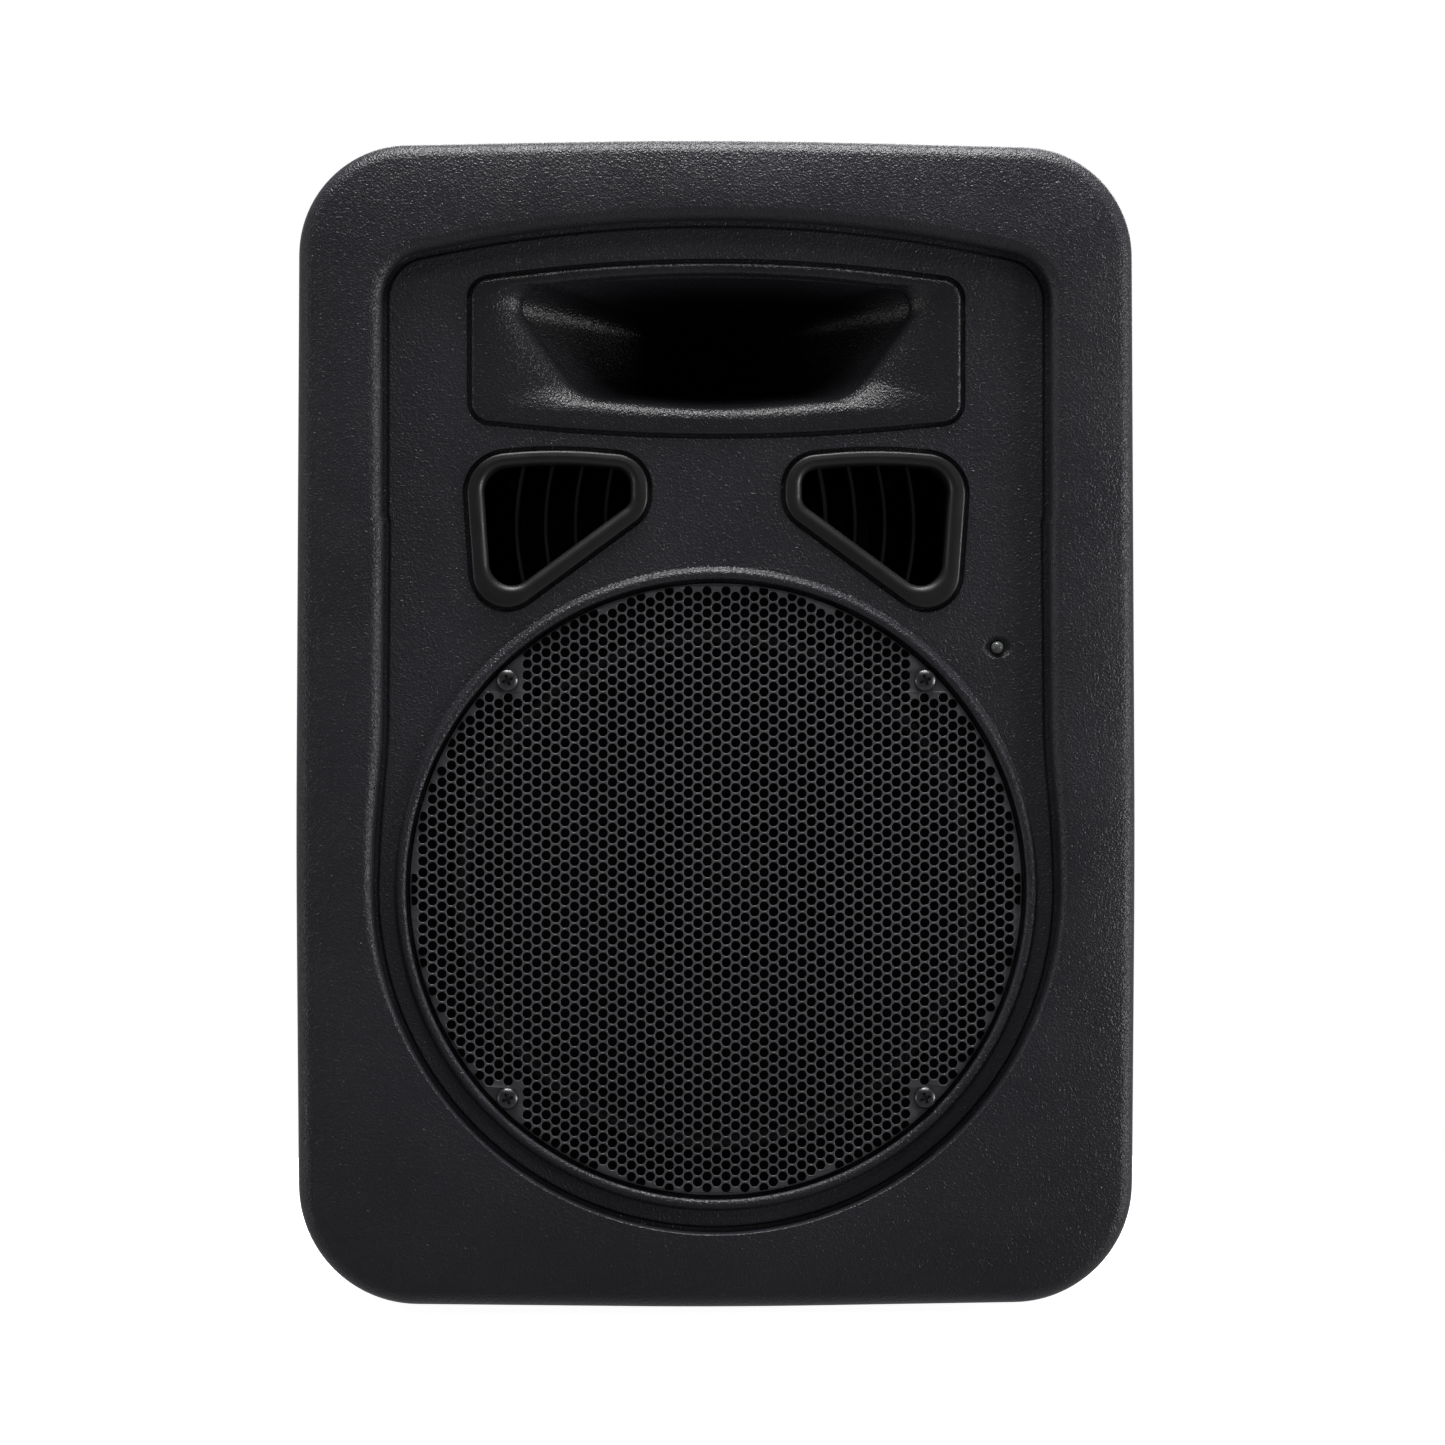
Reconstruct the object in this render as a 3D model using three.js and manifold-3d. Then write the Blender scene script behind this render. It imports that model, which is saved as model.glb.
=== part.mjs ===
// A moulded two-way powered PA loudspeaker cabinet with a 10-inch woofer.
// Millimetres, +Z up, the front faces -Y and +X is to the right seen from the front.
// The origin is at the middle of the footprint, on the surface that the feet stand on.

import * as THREE from "three";
import { mergeVertices } from "three/addons/utils/BufferGeometryUtils.js";
import Module from "manifold-3d";

const wasm = await Module();
wasm.setup();

// ---- Driving dimensions ----

const DEPTH = 285;
const HEIGHT = 490;
const FOOT_DROP = 3;
const WALL = 4;
const GAP = 0.3;
const FRONT = -DEPTH / 2;
const REAR = DEPTH / 2;
const PARTING = -30;
const PART_LINE = 0.2;
const SEAL_DEPTH = 1.6;
const TAPER_END = REAR - 10;

const RECESS_DEPTH = 8;
const RECESS_ROUND = 7;
const FLOOR = FRONT + RECESS_DEPTH;
const BAFFLE = 6;
const BAFFLE_BACK = FLOOR + BAFFLE;
const RECESS_HALF = 139.4;
const RECESS_CIRCLE = 143.4;

const WOOFER_Z = 177.3;
const GRILLE_RADIUS = 129.1;
const LIP_INNER = 129.5;
const LIP_OUTER = 133.8;
const SEAT = FLOOR + 4.5;
const GRILLE_SCREW_CIRCLE = 123.3;

const HORN_Z = 401.75;
const HORN_BACK = -49.5;
const INSERT_GROOVE = 1.7;
const PORT_LIP = 7;
const PORT_LENGTH = 70;
const VANES = [-83.5, -71.3, -58.8, -46.2];
const VANE_FRONT = FLOOR + 16;
const VANE_WAIST = 330;
const VANE_BOW = 100;
const INSERT_SEAT = FLOOR + 3.4;

const LED_X = 117.5;
const LED_Z = 278.3;

const PANEL_HALF = 92;
const PANEL_LOW = 60;
const PANEL_HIGH = 362;
const PANEL_LEDGE = REAR - 26.5;
const PANEL_FACE = PANEL_LEDGE + 2.8;

const SHELL_SCREWS = [
  [-98, 34],
  [98, 34],
  [-104, 245],
  [104, 245],
  [-98, 446],
  [98, 446],
];

const HANDLE_Y = 44;
const HANDLE_FLOOR = 428;
const POLE_Y = 25;
const POLE_BORE = 18.25;

const FEET = [
  { x: -115, y: -82, top: 3.4 },
  { x: 115, y: -82, top: 3.4 },
  { x: -85, y: 85, top: 3.0 },
  { x: 85, y: 85, top: 3.0 },
];

// ---- Finishes ----

const finish = (color, roughness, metalness = 0) =>
  new THREE.MeshStandardMaterial({ color, roughness, metalness });

const casePlastic = () => finish(0x1f1f21, 0.6);
const smoothPlastic = () => finish(0x141415, 0.5);
const grilleSteel = () => finish(0x2a2a2c, 0.45, 0.5);
const screwSteel = () => finish(0x111112, 0.35, 0.8);
const zincSteel = () => finish(0x9a9c9e, 0.35, 0.9);
const castAlloy = () => finish(0x6c6e70, 0.5, 0.8);
const ferrite = () => finish(0x2b2b2d, 0.8);
const rubber = () => finish(0x0e0e0e, 0.9);
const paperPulp = () => finish(0x191919, 0.85);
const cloth = () => finish(0x5a4630, 0.9);
const copper = () => finish(0xa4562a, 0.35, 0.9);
const circuitBoard = () => finish(0x1d4a2c, 0.5);
const indicator = () => finish(0x2b6a34, 0.2);

// ---- Solids from three.js geometry ----

// The geometry as a solid with its faces pointing out.
function solid(geometry) {
  const bare = geometry.clone();
  bare.deleteAttribute("normal");
  bare.deleteAttribute("uv");
  const merged = mergeVertices(bare, 1e-4);
  const faces = Uint32Array.from(merged.index.array);
  const build = (triVerts) =>
    new wasm.Manifold(
      new wasm.Mesh({
        numProp: 3,
        vertProperties: Float32Array.from(merged.attributes.position.array),
        triVerts,
      }),
    );
  const made = build(faces);
  return made.volume() > 0 ? made : build(faces.reverse());
}

const join = (first, ...rest) => rest.reduce((a, b) => a.add(b), first);
const cut = (first, ...tools) => tools.reduce((a, b) => a.subtract(b), first);

function geometryOf(shape) {
  const mesh = shape.getMesh();
  const position = new THREE.BufferAttribute(mesh.vertProperties, 3);
  const geometry = new THREE.BufferGeometry().setAttribute("position", position);
  geometry.setIndex(new THREE.BufferAttribute(mesh.triVerts, 1));
  geometry.computeVertexNormals();
  return geometry;
}

// A ring turned about the Y axis. The profile is a list of [radius, y].
function turned(profile, segments = 24) {
  const points = profile.map(([radius, y]) => new THREE.Vector2(radius, y));
  return new THREE.LatheGeometry(points, segments);
}

// A disc or a tube about the Y axis between two planes.
function disc(radius, front, back, segments = 24) {
  return turned([[0, front], [radius, front], [radius, back], [0, back]], segments);
}

function tube(inner, outer, front, back, segments = 24) {
  const section = [[inner, front], [outer, front], [outer, back], [inner, back], [inner, front]];
  return turned(section, segments);
}

// Stands a piece turned about Y up, so that its y becomes z.
const upright = (geometry) => geometry.rotateX(Math.PI / 2);

function box(x0, x1, y0, y1, z0, z1) {
  const geometry = new THREE.BoxGeometry(x1 - x0, y1 - y0, z1 - z0);
  return geometry.translate((x0 + x1) / 2, (y0 + y1) / 2, (z0 + z1) / 2);
}

// A plate with an outline in the XZ plane, from the back plane forward to the front plane.
function plate(points, front, back) {
  const options = { depth: back - front, bevelEnabled: false };
  const geometry = new THREE.ExtrudeGeometry(new THREE.Shape(points), options);
  return geometry.rotateX(Math.PI / 2).translate(0, back, 0);
}

// A round wire along a smooth curve through the points.
function wire(route, radius, steps) {
  const curve = new THREE.CatmullRomCurve3(route.map((p) => new THREE.Vector3(...p)));
  const section = new THREE.Shape().absarc(0, 0, radius, 0, 2 * Math.PI);
  const options = { extrudePath: curve, steps, curveSegments: 3, bevelEnabled: false };
  return new THREE.ExtrudeGeometry(section, options);
}

// ---- Outlines in the XZ plane, counter-clockwise seen from the front ----

// Points of a closed outline whose corners [x, z, radius] are rounded by arcs.
function trace(corners, arcSteps = 6) {
  const points = [];
  corners.forEach(([x, z, radius], i) => {
    const [px, pz] = corners[(i + corners.length - 1) % corners.length];
    const [nx, nz] = corners[(i + 1) % corners.length];
    const here = new THREE.Vector2(x, z);
    const back = new THREE.Vector2(px - x, pz - z).normalize();
    const ahead = new THREE.Vector2(nx - x, nz - z).normalize();
    const half = Math.acos(back.dot(ahead)) / 2;
    const inward = back.clone().add(ahead).normalize();
    const centre = here.clone().addScaledVector(inward, radius / Math.sin(half));
    const start = here.clone().addScaledVector(back, radius / Math.tan(half)).sub(centre);
    const steps = half > 1.4 ? 2 : arcSteps;
    for (let k = 0; k <= steps; k++) {
      const turn = ((Math.PI - 2 * half) * k) / steps;
      points.push(start.clone().rotateAround(new THREE.Vector2(), turn).add(centre));
    }
  });
  return points;
}

// The same outline moved outward by a distance, point for point.
function expand(points, distance) {
  return points.map((point, i) => {
    const before = points[(i + points.length - 1) % points.length];
    const after = points[(i + 1) % points.length];
    const a = point.clone().sub(before).normalize();
    const b = after.clone().sub(point).normalize();
    const normal = new THREE.Vector2(a.y + b.y, -a.x - b.x).normalize();
    const lean = normal.dot(new THREE.Vector2(a.y, -a.x));
    return point.clone().addScaledVector(normal, distance / lean);
  });
}

// A solid through rings [y, points] from front to back, all with the same number of points.
function loft(rings) {
  const count = rings[0][1].length;
  const vertices = rings.flatMap(([y, points]) => points.flatMap((p) => [p.x, y, p.y]));
  const faces = [];
  for (let ring = 0; ring + 1 < rings.length; ring++) {
    for (let i = 0; i < count; i++) {
      const a = ring * count + i;
      const b = ring * count + ((i + 1) % count);
      faces.push(a, b + count, b, a, a + count, b + count);
    }
  }
  const last = (rings.length - 1) * count;
  THREE.ShapeUtils.triangulateShape(rings[0][1], []).forEach(([a, b, c]) => faces.push(a, b, c));
  THREE.ShapeUtils.triangulateShape(rings.at(-1)[1], []).forEach(([a, b, c]) =>
    faces.push(last + a, last + c, last + b),
  );
  const position = new THREE.Float32BufferAttribute(vertices, 3);
  return new THREE.BufferGeometry().setAttribute("position", position).setIndex(faces);
}

// Rings of an edge rounded over towards a face plane: inward is 1 on a body's edge and -1
// on the mouth of a recess. toFront is true where the face looks forward.
function roundedEdge(points, face, radius, inward, toFront, steps = 2) {
  const rings = [];
  for (let k = 0; k <= steps; k++) {
    const angle = (Math.PI / 2) * (1 - k / steps);
    const setBack = radius * (1 - Math.sin(angle));
    const inset = radius * (1 - Math.cos(angle));
    rings.push([toFront ? face + setBack : face - setBack, expand(points, -inward * inset)]);
  }
  return toFront ? rings : rings.reverse();
}

// The level of a corner whose rounding has its own crest at a given level.
const crest = (level, rise, half, radius) =>
  level + radius * (1 / Math.cos(Math.atan(rise / half)) - 1);

// The cabinet's outline: four round corners joined by slightly bowed sides.
function cabinetOutline(half, top, radius) {
  const bow = 1.5;
  const topDrop = 3.4;
  const bottomRise = 2.1;
  const crown = 16 * half;
  const waist = 193;
  const low = FOOT_DROP;
  return trace([
    [-half + bow, low + bottomRise, radius + 4],
    [0, 2 * low - crest(low, bottomRise, half, crown), crown],
    [half - bow, low + bottomRise, radius + 4],
    [half, waist, 2 * crown],
    [half - bow, top - topDrop, radius],
    [0, crest(top, topDrop, half, crown), crown],
    [-half + bow, top - topDrop, radius],
    [-half, waist, 2 * crown],
  ]);
}

const frontOutline = cabinetOutline(175.2, HEIGHT, 46);
const rearOutline = cabinetOutline(124, 472, 40);

// The recessed panel's floor: arched top, straight sides and a circle round the woofer.
function recessOutline() {
  const top = trace([
    [RECESS_HALF, 400, 5],
    [RECESS_HALF, 439.6, 20],
    [0, 467.9, 560],
    [-RECESS_HALF, 439.6, 20],
    [-RECESS_HALF, 400, 5],
  ]).slice(7, 24);
  const bulgeTop = 247;
  const bulgeEnd = 190;
  const steps = 4;
  const startAngle = Math.asin((bulgeEnd - WOOFER_Z) / RECESS_CIRCLE);
  const wide = RECESS_CIRCLE * Math.cos(startAngle);
  const bulge = [];
  for (let k = 0; k < steps; k++) {
    const t = k / steps;
    const x = THREE.MathUtils.lerp(RECESS_HALF, wide, THREE.MathUtils.smoothstep(t, 0, 1));
    bulge.push(new THREE.Vector2(x, THREE.MathUtils.lerp(bulgeTop, bulgeEnd, t)));
  }
  const arcSteps = 36;
  const sweep = Math.PI + 2 * startAngle;
  const circle = [];
  for (let k = 0; k <= arcSteps; k++) {
    const angle = Math.PI - startAngle + (sweep * k) / arcSteps;
    const x = RECESS_CIRCLE * Math.cos(angle);
    circle.push(new THREE.Vector2(x, WOOFER_Z + RECESS_CIRCLE * Math.sin(angle)));
  }
  const left = bulge.map((p) => new THREE.Vector2(-p.x, p.y));
  return [...top, ...left, ...circle, ...bulge.reverse()];
}

// The horn's outlines: trapezoids whose top and bottom are each one long arc near an apex.
function hornTrapezoid(topHalf, topZ, topApex, lowHalf, lowZ, lowApex, topR, lowR) {
  return trace(
    [
      [-lowHalf, lowZ, lowR],
      [0, lowApex, (0.85 * (lowHalf - lowR) * lowHalf) / (lowZ - lowApex)],
      [lowHalf, lowZ, lowR],
      [topHalf, topZ, topR],
      [0, topApex, (0.85 * (topHalf - topR) * topHalf) / (topApex - topZ)],
      [-topHalf, topZ, topR],
    ],
    5,
  );
}

const hornFlange = hornTrapezoid(102.2, 430.9, 443.6, 102.2, 373.1, 363.3, 8, 8);
const hornMouth = hornTrapezoid(88, 427.3, 438, 56, 382.5, 377, 9, 22);
const hornThroat = hornTrapezoid(17.8, 413.5, 414.8, 17.8, 390, 388.7, 6, 6);
const driverHole = hornTrapezoid(12.7, 414, 415, 12.7, 389.5, 388.5, 11, 11);

// A crowned triangle with a blunt inner end. side is -1 on the left; low is the corner radius
// at the bottom.
function portTriangle(side, top, low) {
  const corners = [
    [-97.7, top, 10],
    [-93.7, 295.5, low],
    [-35.7, 338.2, 6],
    [-35.7, top, 7],
    [-66.7, top + 2.8, 200],
  ];
  if (side < 0) return trace(corners, 5);
  return trace(corners.map(([x, z, r]) => [-x, z, r]).reverse(), 5);
}

function portOpening(side) {
  return portTriangle(side, 352.6, 9.6);
}

function portFlange(side) {
  return expand(portTriangle(side, 351.3, 7.2), PORT_LIP);
}

// ---- The object and its groups ----

const speaker = new THREE.Group();

function groupAt(x, y, z) {
  const group = new THREE.Group();
  group.position.set(x, y, z);
  speaker.add(group);
  return group;
}

function add(parent, name, shape, material) {
  const geometry = shape.isBufferGeometry ? geometryOf(solid(shape)) : geometryOf(shape);
  const mesh = new THREE.Mesh(geometry, material);
  mesh.name = name;
  parent.add(mesh);
  return mesh;
}

// ---- Enclosure ----

const SCREW_BOSS = 8;
const WELL_BORE = 5.6;

// Cutters for a flanged insert in the baffle: a rabbet for its flange and a way through.
function insertCutters(flange, ledge) {
  const rabbet = expand(flange, INSERT_GROOVE);
  const through = expand(flange, -ledge);
  return [
    solid(plate(rabbet, FLOOR - 1, INSERT_SEAT)),
    solid(plate(through, FLOOR - 1, BAFFLE_BACK + 1)),
  ];
}

function wooferLip() {
  const low = FLOOR + 0.5;
  const crestY = FLOOR - 2.5;
  const profile = [
    [LIP_INNER, low],
    [LIP_OUTER + 0.6, low],
    [LIP_OUTER - 0.8, crestY + 0.4],
    [LIP_OUTER - 2.2, crestY],
    [LIP_INNER, crestY + 0.8],
    [LIP_INNER, low],
  ];
  return solid(turned(profile, 48).translate(0, 0, WOOFER_Z));
}

function grilleScrewPlaces() {
  const places = [];
  for (let k = 0; k < 4; k++) {
    const angle = Math.PI / 4 + (k * Math.PI) / 2;
    const x = GRILLE_SCREW_CIRCLE * Math.cos(angle);
    places.push([x, WOOFER_Z + GRILLE_SCREW_CIRCLE * Math.sin(angle)]);
  }
  return places;
}

function ledDimple() {
  const bowl = new THREE.SphereGeometry(1, 14, 6).scale(6.2, 1.6, 4.6);
  return solid(bowl.translate(LED_X, FLOOR, LED_Z));
}

function frontShell() {
  const edge = roundedEdge(frontOutline, FRONT, 7, 1, true);
  const body = solid(loft([...edge, [PARTING - PART_LINE, frontOutline]]));
  const inside = expand(frontOutline, -WALL);
  const cavity = solid(loft([[BAFFLE_BACK, inside], [PARTING + 1, inside]]));
  const floor = recessOutline();
  const mouth = roundedEdge(floor, FRONT, RECESS_ROUND, -1, true);
  const beyond = [FRONT - 1, expand(floor, RECESS_ROUND + 0.2)];
  const recess = solid(loft([beyond, ...mouth, [FLOOR, floor]]));
  let shell = cut(body, cavity, recess);
  shell = join(shell, wooferLip());
  const seat = disc(LIP_INNER, FRONT, SEAT, 48).translate(0, 0, WOOFER_Z);
  const wooferHole = disc(114.5, FRONT, BAFFLE_BACK + 2, 40).translate(0, 0, WOOFER_Z);
  shell = cut(shell, solid(seat), solid(wooferHole));
  shell = cut(shell, ...insertCutters(hornFlange, 1.2));
  for (const side of [-1, 1]) {
    shell = cut(shell, ...insertCutters(portFlange(side), 3));
  }
  const ledHole = disc(3.1, FRONT, BAFFLE_BACK + 1, 12).translate(LED_X, 0, LED_Z);
  shell = cut(shell, ledDimple(), solid(ledHole));
  for (const [x, z] of grilleScrewPlaces()) {
    const boss = disc(6, BAFFLE_BACK - 1, BAFFLE_BACK + 12, 10).translate(x, 0, z);
    const pilot = disc(2.6, FRONT, BAFFLE_BACK + 9, 8).translate(x, 0, z);
    shell = cut(join(shell, solid(boss)), solid(pilot));
  }
  for (const [x, z] of SHELL_SCREWS) {
    const boss = disc(SCREW_BOSS, BAFFLE_BACK - 1, PARTING - PART_LINE, 12).translate(x, 0, z);
    const pilot = disc(2.7, PARTING - 28, PARTING + 1, 8).translate(x, 0, z);
    shell = cut(join(shell, solid(boss)), solid(pilot));
  }
  return shell;
}

function rearBody() {
  const rings = [[PARTING + PART_LINE, frontOutline], [TAPER_END, rearOutline]];
  const edge = roundedEdge(rearOutline, REAR, REAR - TAPER_END, 1, false);
  return solid(loft([...rings, ...edge.slice(1)]));
}

// The room inside the rear shell, for a wall of a given thickness.
function rearCavity(wall) {
  return solid(loft([
    [PARTING - 1, expand(frontOutline, -wall)],
    [PARTING + PART_LINE, expand(frontOutline, -wall)],
    [TAPER_END - 2, expand(rearOutline, -wall)],
    [REAR - wall, expand(rearOutline, -wall - 6)],
  ]));
}

// A straight-sided round-cornered block between two y planes.
function roundedBlock(x0, x1, z0, z1, radius, front, back) {
  const corners = [[x0, z0, radius], [x1, z0, radius], [x1, z1, radius], [x0, z1, radius]];
  return solid(plate(trace(corners, 2), front, back));
}

// A round-cornered block as wide as the hand well under the top handle, or wider by grow.
function handleWell(grow, low, high) {
  const halfX = 65 + grow;
  const halfY = 40 + grow;
  const radius = 16 + grow;
  const corners = [
    [-halfX, -halfY, radius],
    [halfX, -halfY, radius],
    [halfX, halfY, radius],
    [-halfX, halfY, radius],
  ];
  const options = { depth: high - low, bevelEnabled: false };
  const geometry = new THREE.ExtrudeGeometry(new THREE.Shape(trace(corners, 4)), options);
  return solid(geometry.translate(0, HANDLE_Y, low));
}

// The cup that makes the hand well: flush with the shell outside, held by a flange inside.
function handleCup() {
  const wall = 3;
  const flange = 8;
  const bottom = HANDLE_FLOOR - wall;
  const cup = rearBody().intersect(handleWell(wall, bottom, HEIGHT));
  const lining = cut(rearCavity(WALL + GAP), rearCavity(WALL + GAP + wall));
  const rim = lining.intersect(handleWell(wall + flange, bottom, HEIGHT));
  return cut(join(cup, rim), handleWell(0, HANDLE_FLOOR, HEIGHT));
}

function rearShell() {
  const outer = rearBody();
  let shell = cut(outer, rearCavity(WALL));
  const inside = (shape) => outer.intersect(shape);
  const edge = 3;
  const ledgeBack = PANEL_LEDGE - WALL;
  const pocketWall = roundedBlock(
    -PANEL_HALF - edge, PANEL_HALF + edge, PANEL_LOW - edge, PANEL_HIGH + edge, 6, ledgeBack, REAR,
  );
  const pocket = roundedBlock(
    -PANEL_HALF, PANEL_HALF, PANEL_LOW, PANEL_HIGH, 3, PANEL_LEDGE, REAR + 1,
  );
  const ledge = 10;
  const window = roundedBlock(
    -PANEL_HALF + ledge, PANEL_HALF - ledge, PANEL_LOW + ledge, PANEL_HIGH - ledge, 3,
    ledgeBack - 1, REAR,
  );
  shell = join(shell, inside(pocketWall));
  for (const [x, z] of SHELL_SCREWS) {
    const well = disc(SCREW_BOSS, PARTING + PART_LINE, REAR, 12).translate(x, 0, z);
    shell = join(shell, inside(solid(well)));
  }
  shell = cut(shell, pocket, window, handleWell(3 + GAP, HANDLE_FLOOR, HEIGHT + 10));
  for (const [x, z] of SHELL_SCREWS) {
    const bore = disc(WELL_BORE, PARTING + 5, REAR + 1, 12).translate(x, 0, z);
    const hole = disc(2.8, PARTING - 1, PARTING + 6, 8).translate(x, 0, z);
    shell = cut(shell, solid(bore), solid(hole));
  }
  for (const [x, z] of panelScrewPlaces()) {
    const hole = disc(1.9, ledgeBack - 1, PANEL_LEDGE + 1, 8).translate(x, 0, z);
    shell = cut(shell, solid(hole));
  }
  const poleHole = upright(disc(32, 0, 12, 24)).translate(0, POLE_Y, 0);
  shell = cut(shell, solid(poleHole), sealGroove());
  return cut(shell, ...footHoles().slice(2));
}

function sealGroove() {
  const outer = expand(frontOutline, -1.2);
  const inner = expand(frontOutline, -2.8);
  const start = PARTING - 1;
  const end = PARTING + PART_LINE + SEAL_DEPTH;
  const filled = solid(loft([[start, outer], [end, outer]]));
  return cut(filled, solid(loft([[start - 1, inner], [end + 1, inner]])));
}

function shellSeal() {
  const outer = expand(frontOutline, -1.5);
  const inner = expand(frontOutline, -2.5);
  const start = PARTING + 0.1;
  const end = PARTING + SEAL_DEPTH - 0.1;
  const filled = solid(loft([[start, outer], [end, outer]]));
  return cut(filled, solid(loft([[start - 1, inner], [end + 1, inner]])));
}

function footHoles() {
  return FEET.map(({ x, y }) => solid(upright(disc(4, 2, 10, 12)).translate(x, y, 0)));
}

function addFeet(parent) {
  FEET.forEach(({ x, y, top }, i) => {
    const profile = [[0, 0], [11.4, 0], [12, top], [3.6, top], [3.6, 9], [0, 9]];
    const foot = add(parent, `foot_${i + 1}`, upright(turned(profile, 16)), rubber());
    foot.position.set(x, y, 0);
  });
}

function poleSocket() {
  const flange = 40;
  const spigot = 31.6;
  const tubeOuter = 21.5;
  const profile = [
    [POLE_BORE, 3.8],
    [spigot, 3.8],
    [spigot, 7.7],
    [flange, 7.7],
    [flange, 10.4],
    [tubeOuter, 10.4],
    [tubeOuter, 87],
    [0, 87],
    [0, 84],
    [POLE_BORE, 84],
    [POLE_BORE, 3.8],
  ];
  return upright(turned(profile)).translate(0, POLE_Y, 0);
}

function handleGrip() {
  const half = 64.7;
  const corners = [[-12, 456, 8], [12, 456, 8], [12, 476, 6], [-12, 476, 6]];
  const bar = plate(trace(corners, 4), -half, half);
  return bar.rotateZ(Math.PI / 2).translate(0, HANDLE_Y, 0);
}

function screwShape(headRadius, headHeight, shankRadius, length) {
  const profile = [
    [0, -headHeight],
    [headRadius * 0.7, -headHeight],
    [headRadius, 0],
    [shankRadius, 0],
    [0, length],
  ];
  const body = solid(turned(profile, 10));
  const arm = headRadius * 0.52;
  const slot = headRadius * 0.12;
  const depth = headHeight * 0.6;
  const across = box(-arm, arm, -headHeight - 1, -headHeight + depth, -slot, slot);
  const down = box(-slot, slot, -headHeight - 1, -headHeight + depth, -arm, arm);
  return cut(body, solid(across), solid(down));
}

// A screw driven from behind the cabinet is the same shape turned about Z.
function addScrew(parent, name, shape, x, y, z, fromRear) {
  const screw = add(parent, name, shape, screwSteel());
  screw.position.set(x, y, z);
  if (fromRear) screw.rotation.z = Math.PI;
}

function addEnclosure() {
  const group = groupAt(0, 0, 0);
  add(group, "front_shell", cut(frontShell(), ...footHoles().slice(0, 2)), casePlastic());
  add(group, "rear_shell", rearShell(), casePlastic());
  add(group, "shell_seal", shellSeal(), rubber());
  add(group, "pole_socket", poleSocket(), smoothPlastic());
  add(group, "handle_cup", handleCup(), smoothPlastic());
  add(group, "handle_grip", handleGrip(), smoothPlastic());
  addFeet(group);
  const screw = screwShape(4.6, 3, 2.2, 30);
  SHELL_SCREWS.forEach(([x, z], i) => {
    addScrew(group, `shell_screw_${i + 1}`, screw, x, PARTING + 5 + GAP, z, true);
  });
}

// ---- Horn, ports and indicator ----

function hornShape() {
  const lip = 5;
  const crown = 1.2;
  const thick = 2.2;
  const flangeEdge = [
    [FLOOR - crown, expand(hornFlange, -3.4)],
    [FLOOR - crown * 0.7, expand(hornFlange, -1.4)],
    [FLOOR, expand(hornFlange, -0.3)],
    [FLOOR + 1, hornFlange],
    [INSERT_SEAT - GAP, hornFlange],
  ];
  const between = (t, grow) =>
    expand(hornMouth.map((p, i) => p.clone().lerp(hornThroat[i], t)), grow);
  const mouthY = FLOOR + 3.5;
  const along = (t) => THREE.MathUtils.lerp(mouthY, HORN_BACK - 12, t);
  const bellOut = [
    [FLOOR + 1.5, between(0, thick)],
    [mouthY + 2, between(0, thick)],
    [along(0.35), between(0.42, thick + 0.6)],
    [along(0.7), between(0.78, thick + 0.8)],
    [along(1), between(1, thick + 1)],
    [HORN_BACK - 5, expand(driverHole, 6)],
  ];
  const bore = [
    [FLOOR - crown - 1, between(0, lip + 0.5)],
    [FLOOR - crown, between(0, lip)],
    [FLOOR - crown + 0.9, between(0, lip * 0.45)],
    [FLOOR - crown + 2.6, between(0, lip * 0.1)],
    [mouthY + 1.5, between(0, 0)],
    [along(0.35), between(0.42, 0)],
    [along(0.7), between(0.78, 0)],
    [along(1), between(1, 0)],
    [HORN_BACK + 1, driverHole],
  ];
  const backPlate = disc(36, HORN_BACK - 5, HORN_BACK, 32).translate(0, 0, HORN_Z);
  return cut(join(solid(loft(flangeEdge)), solid(loft(bellOut)), solid(backPlate)), solid(loft(bore)));
}

function driverBody() {
  const profile = [
    [12.7, 0.3],
    [42, 0.3],
    [42, 6],
    [20, 6],
    [20, 25.5],
    [8, 25.5],
    [12.7, 0.3],
  ];
  return turned(profile);
}

function addHorn() {
  const group = groupAt(0, 0, 0);
  add(group, "horn", hornShape(), smoothPlastic());
  const driver = groupAt(0, HORN_BACK, HORN_Z);
  add(driver, "driver_body", driverBody(), zincSteel());
  add(driver, "driver_magnet", tube(22.5, 41, 6.3, 22.2), ferrite());
  add(driver, "driver_diaphragm", turned([
    [0, 30.6],
    [10, 29.4],
    [20.8, 26.6],
    [20.8, 27.3],
    [10, 30.0],
    [0, 31.2],
  ]), castAlloy());
  add(driver, "driver_cover", turned([
    [36, 22.5],
    [38, 22.5],
    [38, 47],
    [0, 47],
    [0, 45],
    [36, 45],
    [36, 22.5],
  ]), smoothPlastic());
}

function portShape(side) {
  const opening = portOpening(side);
  const rim = portFlange(side);
  const front = FLOOR - 2.2;
  const duct = 2.6;
  const flange = [
    [front, expand(rim, -2.8)],
    [front + 0.7, expand(rim, -1.1)],
    [front + 2.2, expand(rim, -0.2)],
    [front + 3.2, rim],
    [INSERT_SEAT - GAP, rim],
  ];
  const bore = [
    [front - 1, expand(opening, 3.4)],
    [front, expand(opening, 3)],
    [front + 1, expand(opening, 1)],
    [front + 3, opening],
    [FLOOR + PORT_LENGTH + 1, opening],
  ];
  const back = FLOOR + PORT_LENGTH;
  const outer = solid(plate(expand(opening, duct), FLOOR + 2, back));
  let port = cut(join(solid(loft(flange)), outer), solid(loft(bore)));
  const room = solid(plate(expand(opening, 1), VANE_FRONT, back));
  for (const x of VANES) port = join(port, vane(-side * x, side).intersect(room));
  return port;
}

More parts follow.
